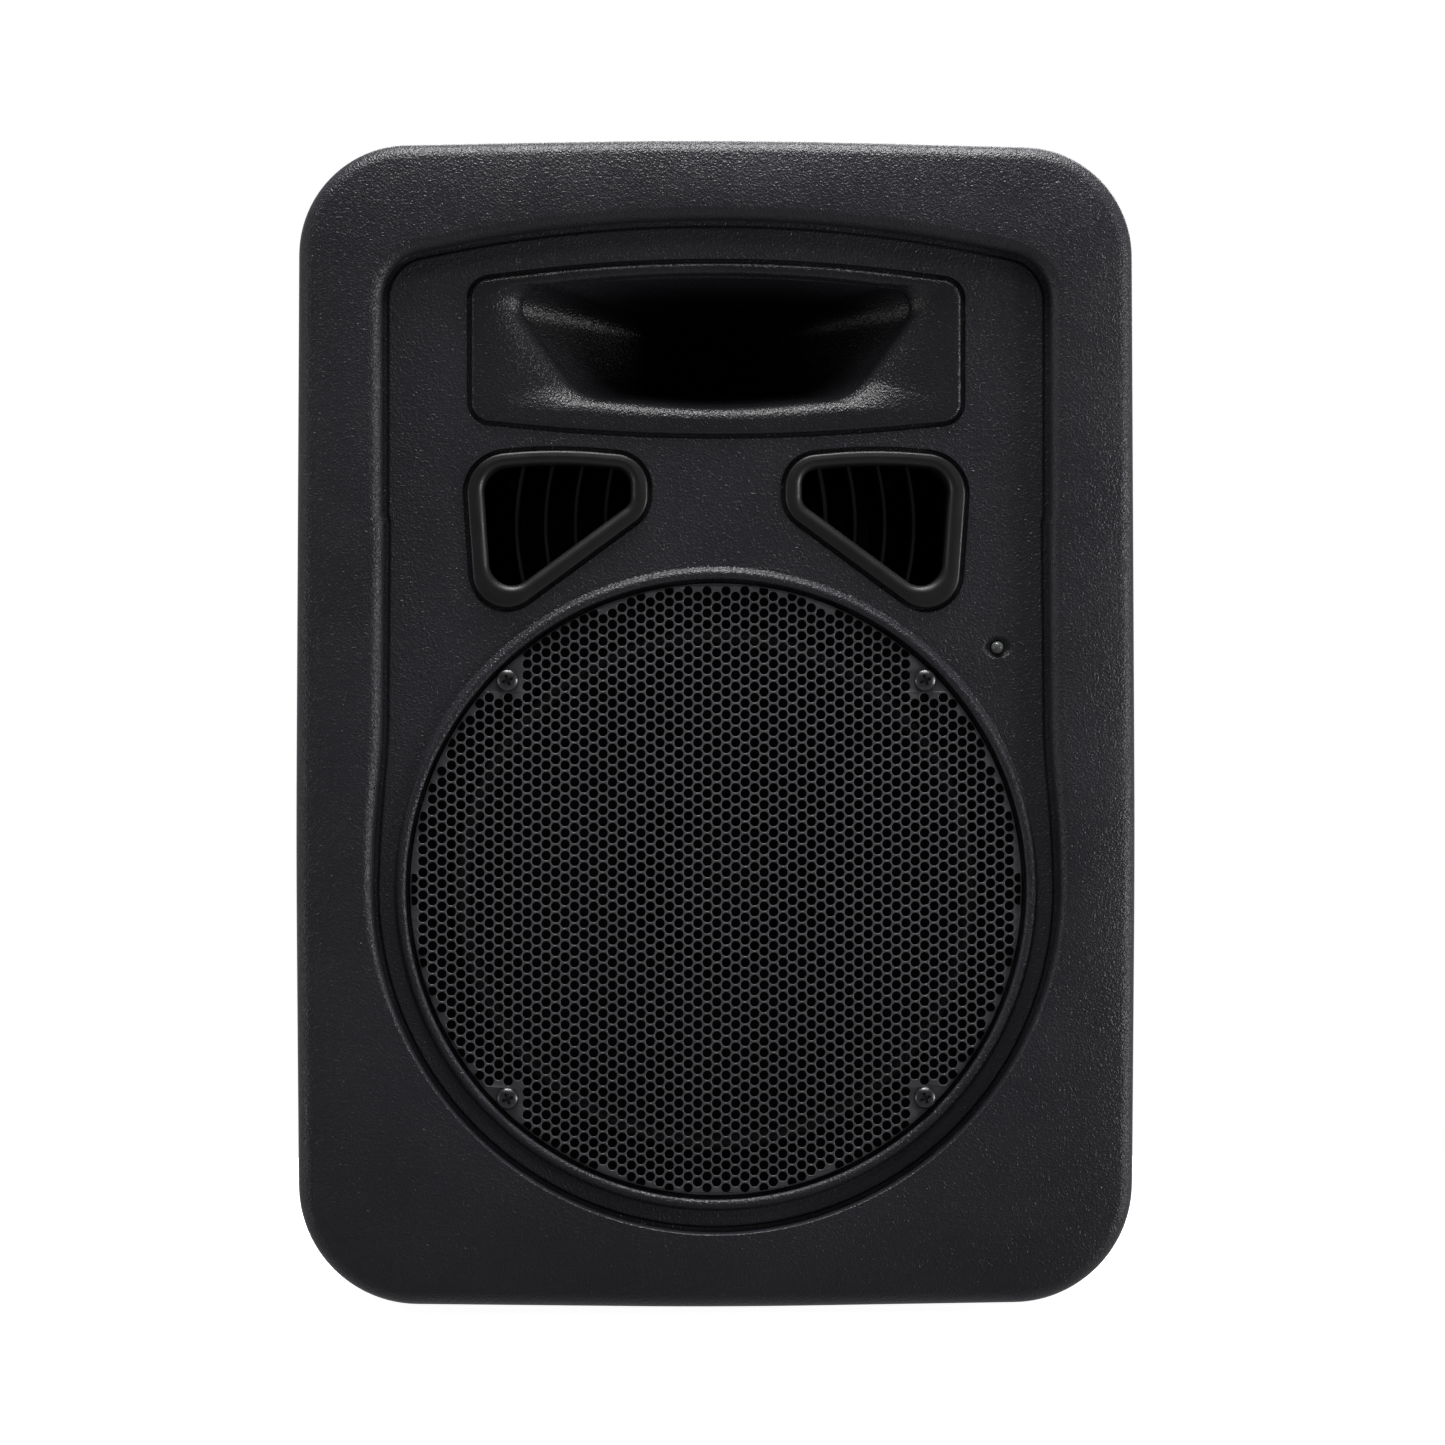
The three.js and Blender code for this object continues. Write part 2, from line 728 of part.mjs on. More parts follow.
// A plate across the duct that bows outward, away from the cabinet's middle.
function vane(x, side) {
  const half = 1.2;
  const steps = 10;
  const near = [];
  const far = [];
  for (let k = 0; k <= steps; k++) {
    const z = THREE.MathUtils.lerp(285, 362, k / steps);
    const centre = x - (side * (z - VANE_WAIST) ** 2) / (2 * VANE_BOW);
    near.push(new THREE.Vector2(centre + half, z));
    far.unshift(new THREE.Vector2(centre - half, z));
  }
  return solid(plate([...near, ...far], VANE_FRONT, FLOOR + PORT_LENGTH));
}

function addPorts() {
  const group = groupAt(0, 0, 0);
  add(group, "port_duct_left", portShape(-1), smoothPlastic());
  add(group, "port_duct_right", portShape(1), smoothPlastic());
  const light = groupAt(LED_X, FLOOR, LED_Z);
  add(light, "power_led", turned([
    [0, -0.9],
    [1.6, -0.5],
    [2.6, 0.6],
    [2.7, 9],
    [0, 9],
  ], 16), indicator());
}

// ---- Woofer ----

function wooferFrame() {
  const profile = [
    [112.4, SEAT - 3.3],
    [128.6, SEAT - 3.3],
    [128.6, SEAT - 0.3],
    [113.5, SEAT - 0.3],
    [113.5, -112],
    [66, -58],
    [27, -58],
    [27, -61],
    [62, -61],
    [62, -72],
    [103.5, -112],
    [103.5, -124.6],
    [112.4, -124.6],
    [112.4, SEAT - 3.3],
  ];
  let frame = solid(turned(profile, 32));
  const windows = 6;
  for (let k = 0; k < windows; k++) {
    const opening = box(-21, 21, -112, -80, 40, 130).rotateY((k * 2 * Math.PI) / windows);
    frame = cut(frame, solid(opening));
  }
  for (const [x, z] of grilleScrewPlaces()) {
    frame = cut(frame, solid(disc(2.8, FRONT, SEAT, 8).translate(x, 0, z - WOOFER_Z)));
  }
  return frame;
}

function grilleShape() {
  const edgeFront = FLOOR - 0.3;
  const thick = 1.2;
  const dome = 3;
  const profile = [
    [0, edgeFront - dome],
    [60, edgeFront - dome * 0.8],
    [110, edgeFront],
    [GRILLE_RADIUS, edgeFront],
    [GRILLE_RADIUS, edgeFront + thick],
    [110, edgeFront + thick],
    [0, edgeFront + thick - dome],
  ];
  let grille = solid(turned(profile, 40));
  for (const [x, z] of grilleScrewPlaces()) {
    grille = cut(grille, solid(disc(2.7, FRONT, SEAT, 8).translate(x, 0, z - WOOFER_Z)));
  }
  return grille;
}

function addMotor(group) {
  add(group, "woofer_top_plate", tube(26.4, 60, -57.7, -51.7), zincSteel());
  add(group, "woofer_magnet", tube(33, 70, -51.4, -33.4), ferrite());
  add(group, "woofer_yoke", turned([
    [10, -57.7],
    [24.2, -57.7],
    [24.2, -36],
    [30, -33.1],
    [68, -33.1],
    [68, -27.1],
    [14, -27.1],
    [10, -31],
    [10, -57.7],
  ]), zincSteel());
}

function addMovingParts(group) {
  add(group, "woofer_cone", turned([
    [26.4, -80],
    [100.4, -125.8],
    [102.4, -125.8],
    [102.4, -124.8],
    [26.4, -78.6],
    [26.4, -80],
  ], 32), paperPulp());
  add(group, "woofer_dust_cap", turned([
    [0, -98.6],
    [16, -96.4],
    [31, -85.6],
    [33, -84.4],
    [29.6, -84.6],
    [15.6, -95.2],
    [0, -97.4],
  ]), paperPulp());
  add(group, "woofer_voice_coil", tube(24.9, 25.9, -79.5, -46), copper());
}

function addSuspension(group) {
  add(group, "woofer_surround", turned([
    [102.8, -126.2],
    [105, -129.4],
    [108.6, -129.4],
    [111.2, -126],
    [111.2, -124.9],
    [108, -128.2],
    [105.4, -128.2],
    [102.8, -124.9],
    [102.8, -126.2],
  ], 32), rubber());
  const waves = 4;
  const inner = 26.3;
  const outer = 57.5;
  const wave = (k) => (k % 2 ? -73.6 : -71.4);
  const front = [];
  const rear = [];
  for (let k = 0; k <= waves; k++) {
    const radius = THREE.MathUtils.lerp(inner, outer, k / waves);
    front.push([radius, wave(k) - 0.4]);
    rear.unshift([radius, wave(k) + 0.4]);
  }
  add(group, "woofer_spider", turned([...front, ...rear, front[0]]), cloth());
}

function addWoofer() {
  const group = groupAt(0, 0, WOOFER_Z);
  add(group, "woofer_frame", wooferFrame(), castAlloy());
  addMotor(group);
  addMovingParts(group);
  addSuspension(group);
  add(group, "woofer_grille", grilleShape(), grilleSteel());
  add(group, "woofer_terminal", box(87, 99, -66, -50, -9, 9), smoothPlastic());
  const screw = screwShape(4.65, 2.5, 2.1, 15);
  grilleScrewPlaces().forEach(([x, z], i) => {
    addScrew(group, `grille_screw_${i + 1}`, screw, x, FLOOR - 0.3 - GAP, z - WOOFER_Z, false);
  });
}

// ---- Amplifier and rear panel ----

const JACK = { x: -52, z: 322 };
const LINK = { x: 8, z: 322 };
const KNOBS = [
  { name: "mic_level_knob", x: -60, z: 268 },
  { name: "line_level_knob", x: -20, z: 268 },
  { name: "bass_knob", x: 20, z: 268 },
  { name: "treble_knob", x: 60, z: 268 },
];
const INLET = { x: 34, z: 92 };
const SWITCH = { x: -40, z: 92 };
const INLET_HALF = { x: 14, z: 15 };

function panelScrewPlaces() {
  const x = PANEL_HALF - 5;
  const low = PANEL_LOW + 5;
  const high = PANEL_HIGH - 5;
  return [[-x, low], [x, low], [-x, high], [x, high]];
}

function ampPanel() {
  const edge = 0.4;
  const start = PANEL_LEDGE + GAP;
  let panel = roundedBlock(
    -PANEL_HALF + edge, PANEL_HALF - edge, PANEL_LOW + edge, PANEL_HIGH - edge, 3,
    start, PANEL_FACE,
  );
  const hole = (x, z, radius, sides = 16) =>
    solid(disc(radius, start - 1, PANEL_FACE + 1, sides).translate(x, 0, z));
  const slot = (x, z, halfX, halfZ) =>
    solid(box(x - halfX, x + halfX, start - 1, PANEL_FACE + 1, z - halfZ, z + halfZ));
  panel = cut(panel, hole(JACK.x, JACK.z, 12.4, 20), hole(LINK.x, LINK.z, 12.4, 20));
  panel = cut(panel, slot(JACK.x, JACK.z + 12, 4.5, 2.4));
  panel = cut(panel, ...KNOBS.map(({ x, z }) => hole(x, z, 3.8, 10)));
  panel = cut(panel, slot(INLET.x, INLET.z, INLET_HALF.x + GAP, INLET_HALF.z + GAP));
  panel = cut(panel, slot(SWITCH.x, SWITCH.z, 10.3, 13.3));
  return cut(panel, ...panelScrewPlaces().map(([x, z]) => hole(x, z, 2.3, 8)));
}

function heatsinkShape() {
  const half = 76;
  const base = PANEL_FACE + GAP;
  const root = base + 3;
  const tip = REAR - 2;
  const fins = 14;
  const pitch = (2 * half - 2) / (fins - 1);
  const outline = [new THREE.Vector2(-half, base), new THREE.Vector2(half, base)];
  for (let k = fins - 1; k >= 0; k--) {
    const left = -half + k * pitch;
    const right = left + 2;
    if (k < fins - 1) outline.push(new THREE.Vector2(right, root));
    outline.push(new THREE.Vector2(right, tip), new THREE.Vector2(left, tip));
    if (k > 0) outline.push(new THREE.Vector2(left, root));
  }
  const options = { depth: 96, bevelEnabled: false };
  return new THREE.ExtrudeGeometry(new THREE.Shape(outline), options).translate(0, 0, 136);
}

function ampBoard() {
  const boardFront = 83;
  const boardBack = 84.8;
  const board = solid(box(-76, 76, boardFront, boardBack, 176, 340));
  const filterCaps = [-50, -22].map((x) =>
    solid(disc(12, boardFront - 30, boardFront + 0.5, 12).translate(x, 0, 205)),
  );
  const outputSink = solid(box(6, 62, boardFront - 24, boardFront + 0.5, 214, 222));
  const choke = solid(box(30, 52, boardFront - 18, boardFront + 0.5, 240, 262));
  const chip = solid(box(-30, -12, boardFront - 3, boardFront + 0.5, 262, 280));
  return join(board, ...filterCaps, outputSink, choke, chip);
}

// The flange and body that both panel sockets share, about the socket's own axis.
function socketHousing(bodyDepth) {
  const corners = [[-13, -15.5, 2], [13, -15.5, 2], [13, 15.5, 2], [-13, 15.5, 2]];
  const flange = solid(plate(trace(corners, 3), GAP, 2.3));
  return join(flange, solid(disc(11.9, -bodyDepth, 1, 20)));
}

function comboJack() {
  const housing = socketHousing(24);
  const mouth = solid(disc(9.6, -16, 4, 20));
  const plug = solid(disc(3.3, -22, 4, 12));
  const latchSlot = solid(box(-4.3, 4.3, -6, 4, 10.6, 14));
  const contacts = [90, 210, 330].map((angle) => {
    const turn = THREE.MathUtils.degToRad(angle);
    return solid(disc(1.3, -20, -10, 8).translate(6.3 * Math.cos(turn), 0, 6.3 * Math.sin(turn)));
  });
  return cut(housing, mouth, plug, latchSlot, ...contacts);
}

function jackLatch() {
  const key = solid(box(-3.9, 3.9, -2.5, 4.3, 10.95, 13.6));
  const nose = solid(box(-2.2, 2.2, 1.5, 4.3, 10.95, 12.4));
  return join(key, nose);
}

function linkOutput() {
  const housing = cut(socketHousing(24), solid(disc(9.7, -14, 4, 20)));
  const pins = [90, 210, 330].map((angle) => {
    const turn = THREE.MathUtils.degToRad(angle);
    return solid(disc(1.2, -15, -2, 8).translate(5.4 * Math.cos(turn), 0, 5.4 * Math.sin(turn)));
  });
  return join(housing, ...pins);
}

const FUSE_TOP = -8.2;

// The mains inlet about its own middle: three blades in a well, with a fuse slot below it.
function powerInlet() {
  const flangeCorners = [[-20, -18, 3], [20, -18, 3], [20, 18, 3], [-20, 18, 3]];
  const flange = solid(plate(trace(flangeCorners, 3), GAP, 2.3));
  const body = solid(box(-INLET_HALF.x, INLET_HALF.x, -24, 1, -INLET_HALF.z, INLET_HALF.z));
  const wellCorners = [[-12, -6, 1], [12, -6, 1], [12, 6, 1], [8, 11, 1], [-8, 11, 1], [-12, 6, 1]];
  const well = solid(plate(trace(wellCorners, 2), -16, 4));
  const slot = solid(box(-11, 11, -20, 4, -13.6, FUSE_TOP));
  const blades = [[-7, 0.5], [0, 4.5], [7, 0.5]].map(([x, z]) =>
    solid(box(x - 1, x + 1, -17, -3, z - 2, z + 2)),
  );
  return join(cut(join(flange, body), well, slot), ...blades);
}

function fuseDrawer() {
  const tray = solid(box(-10.6, 10.6, -19, 2.3, -13.2, FUSE_TOP - 0.4));
  const face = solid(box(-10.6, 10.6, 2, 3.3, -13.2, FUSE_TOP - 0.4));
  const fuseRoom = solid(box(-8, 8, -16, -3, -11.8, FUSE_TOP + 1));
  return cut(join(tray, face), fuseRoom);
}

function switchFrame() {
  const corners = [[-12.5, -16, 2], [12.5, -16, 2], [12.5, 16, 2], [-12.5, 16, 2]];
  const flange = solid(plate(trace(corners, 3), GAP, 2.3));
  const body = solid(box(-10, 10, -22, 1, -13, 13));
  return cut(join(flange, body), solid(box(-8, 8, -14, 4, -11, 11)));
}

// A rocker that turns about X through its own origin, drawn with its upper end pressed in.
function rockerShape() {
  const pressed = THREE.MathUtils.degToRad(10);
  const section = new THREE.Shape();
  section.moveTo(-9.6, 3.6);
  section.lineTo(-9.6, 0.5);
  section.lineTo(-3, -4);
  section.lineTo(3, -4);
  section.lineTo(9.6, 0.5);
  section.lineTo(9.6, 3.6);
  section.lineTo(0, 2.2);
  const options = { depth: 15, bevelEnabled: false };
  const geometry = new THREE.ExtrudeGeometry(section, options).translate(0, 0, -7.5);
  return geometry.rotateY(-Math.PI / 2).rotateX(pressed);
}

function knobShape() {
  const cap = solid(turned([
    [0, -8],
    [3, -8],
    [3, 1],
    [7.6, 1],
    [7.6, 2.6],
    [6, 3.4],
    [5.6, 14.8],
    [0, 14.8],
  ], 14));
  const pointer = solid(box(-0.6, 0.6, 3, 15.3, 1.5, 6.9));
  return join(cap, pointer);
}

function addAmplifier() {
  const group = groupAt(0, 0, 0);
  add(group, "amp_panel", ampPanel(), finish(0x18181a, 0.5, 0.4));
  add(group, "heatsink", heatsinkShape(), finish(0x101011, 0.5, 0.7));
  add(group, "amp_board", ampBoard(), circuitBoard());
  const toroid = turned([
    [14, -14],
    [38, -16],
    [42, -10],
    [42, 10],
    [38, 16],
    [14, 14],
    [14, -14],
  ]);
  add(groupAt(0, 66, 124), "power_transformer", toroid, finish(0x8a6a1c, 0.5));
  panelScrewPlaces().forEach(([x, z], i) => {
    const screw = screwShape(3.6, 2.2, 1.6, 9);
    addScrew(group, `panel_screw_${i + 1}`, screw, x, PANEL_FACE + GAP, z, true);
  });
}

function addRearControls() {
  const jack = groupAt(JACK.x, PANEL_FACE, JACK.z);
  add(jack, "combo_jack", comboJack(), smoothPlastic());
  add(jack, "jack_latch", jackLatch(), finish(0x8d9092, 0.4, 0.5));
  add(groupAt(LINK.x, PANEL_FACE, LINK.z), "link_output", linkOutput(), smoothPlastic());
  const inlet = groupAt(INLET.x, PANEL_FACE, INLET.z);
  add(inlet, "power_inlet", powerInlet(), smoothPlastic());
  add(inlet, "fuse_drawer", fuseDrawer(), smoothPlastic());
  add(groupAt(SWITCH.x, PANEL_FACE, SWITCH.z), "switch_frame", switchFrame(), smoothPlastic());
  add(groupAt(SWITCH.x, PANEL_FACE, SWITCH.z), "power_rocker", rockerShape(), smoothPlastic());
  for (const { name, x, z } of KNOBS) {
    add(groupAt(x, PANEL_FACE, z), name, knobShape(), smoothPlastic());
  }
}

// ---- Leads inside the cabinet ----

function addLeads() {
  const wooferRoute = [
    [99.4, -58, 177],
    [112, -57, 180],
    [128, -38, 192],
    [124, 0, 204],
    [100, 46, 214],
    [68, 73, 226],
    [66, 82.4, 226],
  ];
  const driverRoute = [
    [20, -2, 388],
    [20, 7, 388],
    [22, 26, 370],
    [28, 52, 340],
    [34, 74, 318],
    [34, 82.4, 318],
  ];
  add(speaker, "woofer_lead", wire(wooferRoute, 1.8, 16), finish(0x992222, 0.6));
  add(speaker, "driver_lead", wire(driverRoute, 1.8, 14), finish(0x992222, 0.6));
}

addEnclosure();
addHorn();
addPorts();
addWoofer();
addAmplifier();
addRearControls();
addLeads();

export default speaker;
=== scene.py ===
"""A moulded PA loudspeaker cabinet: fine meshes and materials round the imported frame."""

import math

import bmesh
import bpy
import numpy as np
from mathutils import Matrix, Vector
from mathutils.geometry import tessellate_polygon


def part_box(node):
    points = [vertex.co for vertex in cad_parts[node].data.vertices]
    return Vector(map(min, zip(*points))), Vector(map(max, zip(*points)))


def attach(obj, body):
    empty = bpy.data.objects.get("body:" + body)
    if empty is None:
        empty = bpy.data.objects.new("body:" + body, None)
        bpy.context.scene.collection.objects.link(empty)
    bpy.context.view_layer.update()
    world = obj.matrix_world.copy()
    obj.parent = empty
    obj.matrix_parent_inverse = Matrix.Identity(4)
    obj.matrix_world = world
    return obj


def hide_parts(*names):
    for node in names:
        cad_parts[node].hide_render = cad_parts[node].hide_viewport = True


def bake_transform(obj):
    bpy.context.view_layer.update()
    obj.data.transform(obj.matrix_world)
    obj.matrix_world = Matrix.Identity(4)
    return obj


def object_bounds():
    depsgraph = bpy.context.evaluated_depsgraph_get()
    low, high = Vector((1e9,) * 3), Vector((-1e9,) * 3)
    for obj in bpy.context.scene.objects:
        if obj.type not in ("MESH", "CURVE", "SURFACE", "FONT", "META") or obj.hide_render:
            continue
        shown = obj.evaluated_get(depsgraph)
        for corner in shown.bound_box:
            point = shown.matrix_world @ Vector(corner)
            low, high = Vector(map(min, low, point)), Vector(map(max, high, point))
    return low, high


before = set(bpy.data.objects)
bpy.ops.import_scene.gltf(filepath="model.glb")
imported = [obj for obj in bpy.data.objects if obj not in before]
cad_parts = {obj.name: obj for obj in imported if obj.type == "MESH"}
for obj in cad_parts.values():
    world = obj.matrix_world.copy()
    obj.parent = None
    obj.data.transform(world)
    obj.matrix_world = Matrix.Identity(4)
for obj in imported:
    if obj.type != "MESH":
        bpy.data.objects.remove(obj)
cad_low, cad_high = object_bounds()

# ---- Dimensions, in millimetres ----

MM = 0.001
TAU = 2 * math.pi


def box_mm(node):
    """The lowest and highest corner of a CAD node, in millimetres."""
    low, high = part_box(node)
    return low / MM, high / MM


def axis_mm(node):
    """The (x, z) of a CAD node's middle, in millimetres."""
    low, high = box_mm(node)
    return (low.x + high.x) / 2, (low.z + high.z) / 2


FRONT = cad_low.y / MM
REAR = cad_high.y / MM
HEIGHT = cad_high.z / MM
FOOT_DROP = 3
WALL = 4
PARTING = (box_mm("front_shell")[1].y + box_mm("rear_shell")[0].y) / 2
PART_LINE = 0.2
CASE_HALF = 175.2
CASE_TOP = HEIGHT + 0.2
BACK_HALF = 124
BACK_TOP = 472
BACK_ROUND = 10
TAPER_END = REAR - BACK_ROUND

RECESS_DEPTH = 8
RECESS_ROUND = 5.5
FLOOR = FRONT + RECESS_DEPTH
BAFFLE_BACK = FLOOR + 6
RECESS_HALF = 139.4
RECESS_CIRCLE = 143.4
CABINET_CENTRE = np.array([0.0, 235.0])

grille_low, grille_high = box_mm("woofer_grille")
WOOFER_Z = (grille_low.z + grille_high.z) / 2
GRILLE_RADIUS = (grille_high.x - grille_low.x) / 2
LIP_INNER = GRILLE_RADIUS + 0.4
LIP_OUTER = LIP_INNER + 4.3
GRILLE_FRONT = FLOOR - 0.3
GRILLE_THICK = 1.2
GRILLE_DOME = 3
SEAT = FLOOR + 4.5

INSERT_SEAT = FLOOR + 3.4
INSERT_BACK = INSERT_SEAT - 0.3
GROOVE = 1.7
HORN_BACK = box_mm("horn")[1].y
HORN_Z = 401.75
PORT_LIP = 7
PORT_LENGTH = 70
VANES = (-83.5, -71.3, -58.8, -46.2)
VANE_SETBACK = 16
VANE_WAIST = 330
VANE_BOW = 100

LED_X, LED_Z = axis_mm("power_led")

ROOT = "cabinet"

# ---- Outlines in the XZ plane, counter-clockwise seen from the front ----


def unit(vectors):
    return vectors / np.linalg.norm(vectors, axis=1)[:, None]


def rounded(corners, arc=12, straight=6):
    """A closed outline whose corners (x, z, radius) are rounded by arcs of equal steps."""
    spans = []
    count = len(corners)
    for i, (x, z, radius) in enumerate(corners):
        here = np.array([x, z], float)
        back = np.array(corners[i - 1][:2], float) - here
        ahead = np.array(corners[(i + 1) % count][:2], float) - here
        back /= np.linalg.norm(back)
        ahead /= np.linalg.norm(ahead)
        half = math.acos(float(back @ ahead)) / 2
        middle = (back + ahead) / np.linalg.norm(back + ahead)
        centre = here + middle * radius / math.sin(half)
        start = here + back * radius / math.tan(half) - centre
        angles = np.linspace(0, math.pi - 2 * half, arc + 1)
        turned_x = start[0] * np.cos(angles) - start[1] * np.sin(angles)
        turned_z = start[0] * np.sin(angles) + start[1] * np.cos(angles)
        spans.append(centre + np.column_stack([turned_x, turned_z]))
    points = []
    for i, span in enumerate(spans):
        points.extend(span)
        target = spans[(i + 1) % count][0]
        for k in range(1, straight):
            points.append(span[-1] + (target - span[-1]) * k / straight)
    return np.array(points)


def rays(angles):
    return np.column_stack([np.cos(angles), np.sin(angles)])


def circle(radius, centre, count):
    return centre + radius * rays(np.linspace(0, TAU, count, endpoint=False))


def axes(angle):
    """Unit vectors along an angle and a quarter turn on from it."""
    along = np.array([math.cos(angle), math.sin(angle)])
    return along, np.array([-along[1], along[0]])


def expand(points, distance):
    """The outline moved outward by a distance, or by one distance for each point."""
    a = unit(points - np.roll(points, 1, axis=0))
    b = unit(np.roll(points, -1, axis=0) - points)
    total = a + b
    normal = unit(np.column_stack([total[:, 1], -total[:, 0]]))
    lean = normal[:, 0] * a[:, 1] - normal[:, 1] * a[:, 0]
    return points + normal * (distance / lean)[:, None]


def smoothstep(low, high, value):
    t = np.clip((value - low) / (high - low), 0, 1)
    return t * t * (3 - 2 * t)


def grown(outline, base, *steps):
    """Sections of an outline moved outward by a distance, each at a depth beyond a base."""
    return [(expand(outline, distance), base + y) for distance, y in steps]


def arc_steps(count, first=0, last=90):
    """(1 - cos, sin) at equal steps of an angle in degrees."""
    angles = np.radians(np.linspace(first, last, count))
    return list(zip(1 - np.cos(angles), np.sin(angles)))


def by_angle(points, count=1440):
    """The outline met by equally spaced rays from the cabinet's centre."""
    step = np.roll(points, -1, axis=0) - points
    dense = np.concatenate([points + step * t for t in np.linspace(0, 1, 10, endpoint=False)])
    ray = dense - CABINET_CENTRE
    angle = np.arctan2(ray[:, 1], ray[:, 0])
    order = np.argsort(angle)
    reach = np.hypot(ray[:, 0], ray[:, 1])[order]
    grid = np.linspace(-math.pi, math.pi, count, endpoint=False)
    radius = np.interp(grid, angle[order], reach, period=TAU)
    return CABINET_CENTRE + radius[:, None] * rays(grid)


def crest(level, rise, half, radius):
    """The corner level that puts the crest of a very open rounded corner at a level."""
    return level + radius * (1 / math.cos(math.atan(rise / half)) - 1)


def cabinet_outline(half, top, radius):
    bow = 1.5
    top_drop = 3.4
    bottom_rise = 2.1
    waist = 193
    crown = 16 * half
    low = FOOT_DROP
    return rounded([
        (-half + bow, low + bottom_rise, radius + 4),
        (0, 2 * low - crest(low, bottom_rise, half, crown), crown),
        (half - bow, low + bottom_rise, radius + 4),
        (half, waist, 2 * crown),
        (half - bow, top - top_drop, radius),
        (0, crest(top, top_drop, half, crown), crown),
        (-half + bow, top - top_drop, radius),
        (-half, waist, 2 * crown),
    ], arc=24)


def recess_outline():
    """Arched top, straight sides, and a circle round the woofer below a gentle bulge."""
    straight = 330
    shoulder = 439.6
    apex = 467.9
    closed = rounded([(RECESS_HALF, straight, 3), (RECESS_HALF, shoulder, 20), (0, apex, 560),
                      (-RECESS_HALF, shoulder, 20), (-RECESS_HALF, straight, 3)], arc=24)
    top = closed[closed[:, 1] > straight + 1]
    bulge_top = 250.0
    bulge_end = 186.0
    angle = math.asin((bulge_end - WOOFER_Z) / RECESS_CIRCLE)
    wide = RECESS_CIRCLE * math.cos(angle)
    t = np.linspace(0, 1, 24)
    side = np.column_stack([RECESS_HALF + (wide - RECESS_HALF) * smoothstep(0, 1, t),
                            bulge_top + (bulge_end - bulge_top) * t])
    sweep = np.linspace(math.pi - angle, TAU + angle, 160)
    around = [0, WOOFER_Z] + RECESS_CIRCLE * rays(sweep)
    return np.concatenate([top, side * [-1, 1], around[1:-1], side[::-1]])


def trapezoid(top_half, top_z, top_apex, low_half, low_z, low_apex, top_r, low_r):
    """A trapezoid whose top and bottom are each one long arc under or over an apex."""
    top_crown = 0.85 * (top_half - top_r) * top_half / (top_apex - top_z)
    low_crown = 0.85 * (low_half - low_r) * low_half / (low_z - low_apex)
    return rounded([
        (-low_half, low_z, low_r),
        (0, low_apex, low_crown),
        (low_half, low_z, low_r),
        (top_half, top_z, top_r),
        (0, top_apex, top_crown),
        (-top_half, top_z, top_r),
    ], arc=18, straight=8)


HORN_FLANGE = trapezoid(102.2, 430.9, 443.6, 102.2, 373.1, 363.3, 8, 8)
HORN_MOUTH = trapezoid(88, 427.3, 438, 56, 382.5, 377, 9, 22)
HORN_THROAT = trapezoid(17.8, 413.5, 414.8, 17.8, 390, 388.7, 6, 6)
DRIVER_HOLE = trapezoid(12.7, 414, 415, 12.7, 389.5, 388.5, 11, 11)


def port_triangle(side, top, low):
    """A crowned triangle with a blunt inner end; low is the corner radius at the bottom."""
    corners = [(-97.7, top, 10), (-93.7, 295.5, low), (-35.7, 338.2, 6), (-35.7, top, 7),
               (-66.7, top + 2.8, 200)]
    if side > 0:
        corners = [(-x, z, r) for x, z, r in reversed(corners)]
    return rounded(corners, arc=16, straight=10)


def port_opening(side):
    return port_triangle(side, 352.6, 9.6)


def port_flange(side):
    return expand(port_triangle(side, 351.3, 7.2), PORT_LIP)


OUTER = by_angle(cabinet_outline(CASE_HALF, CASE_TOP, 46))
TAPERED = by_angle(cabinet_outline(BACK_HALF, BACK_TOP, 40))

# ---- Mesh helpers ----


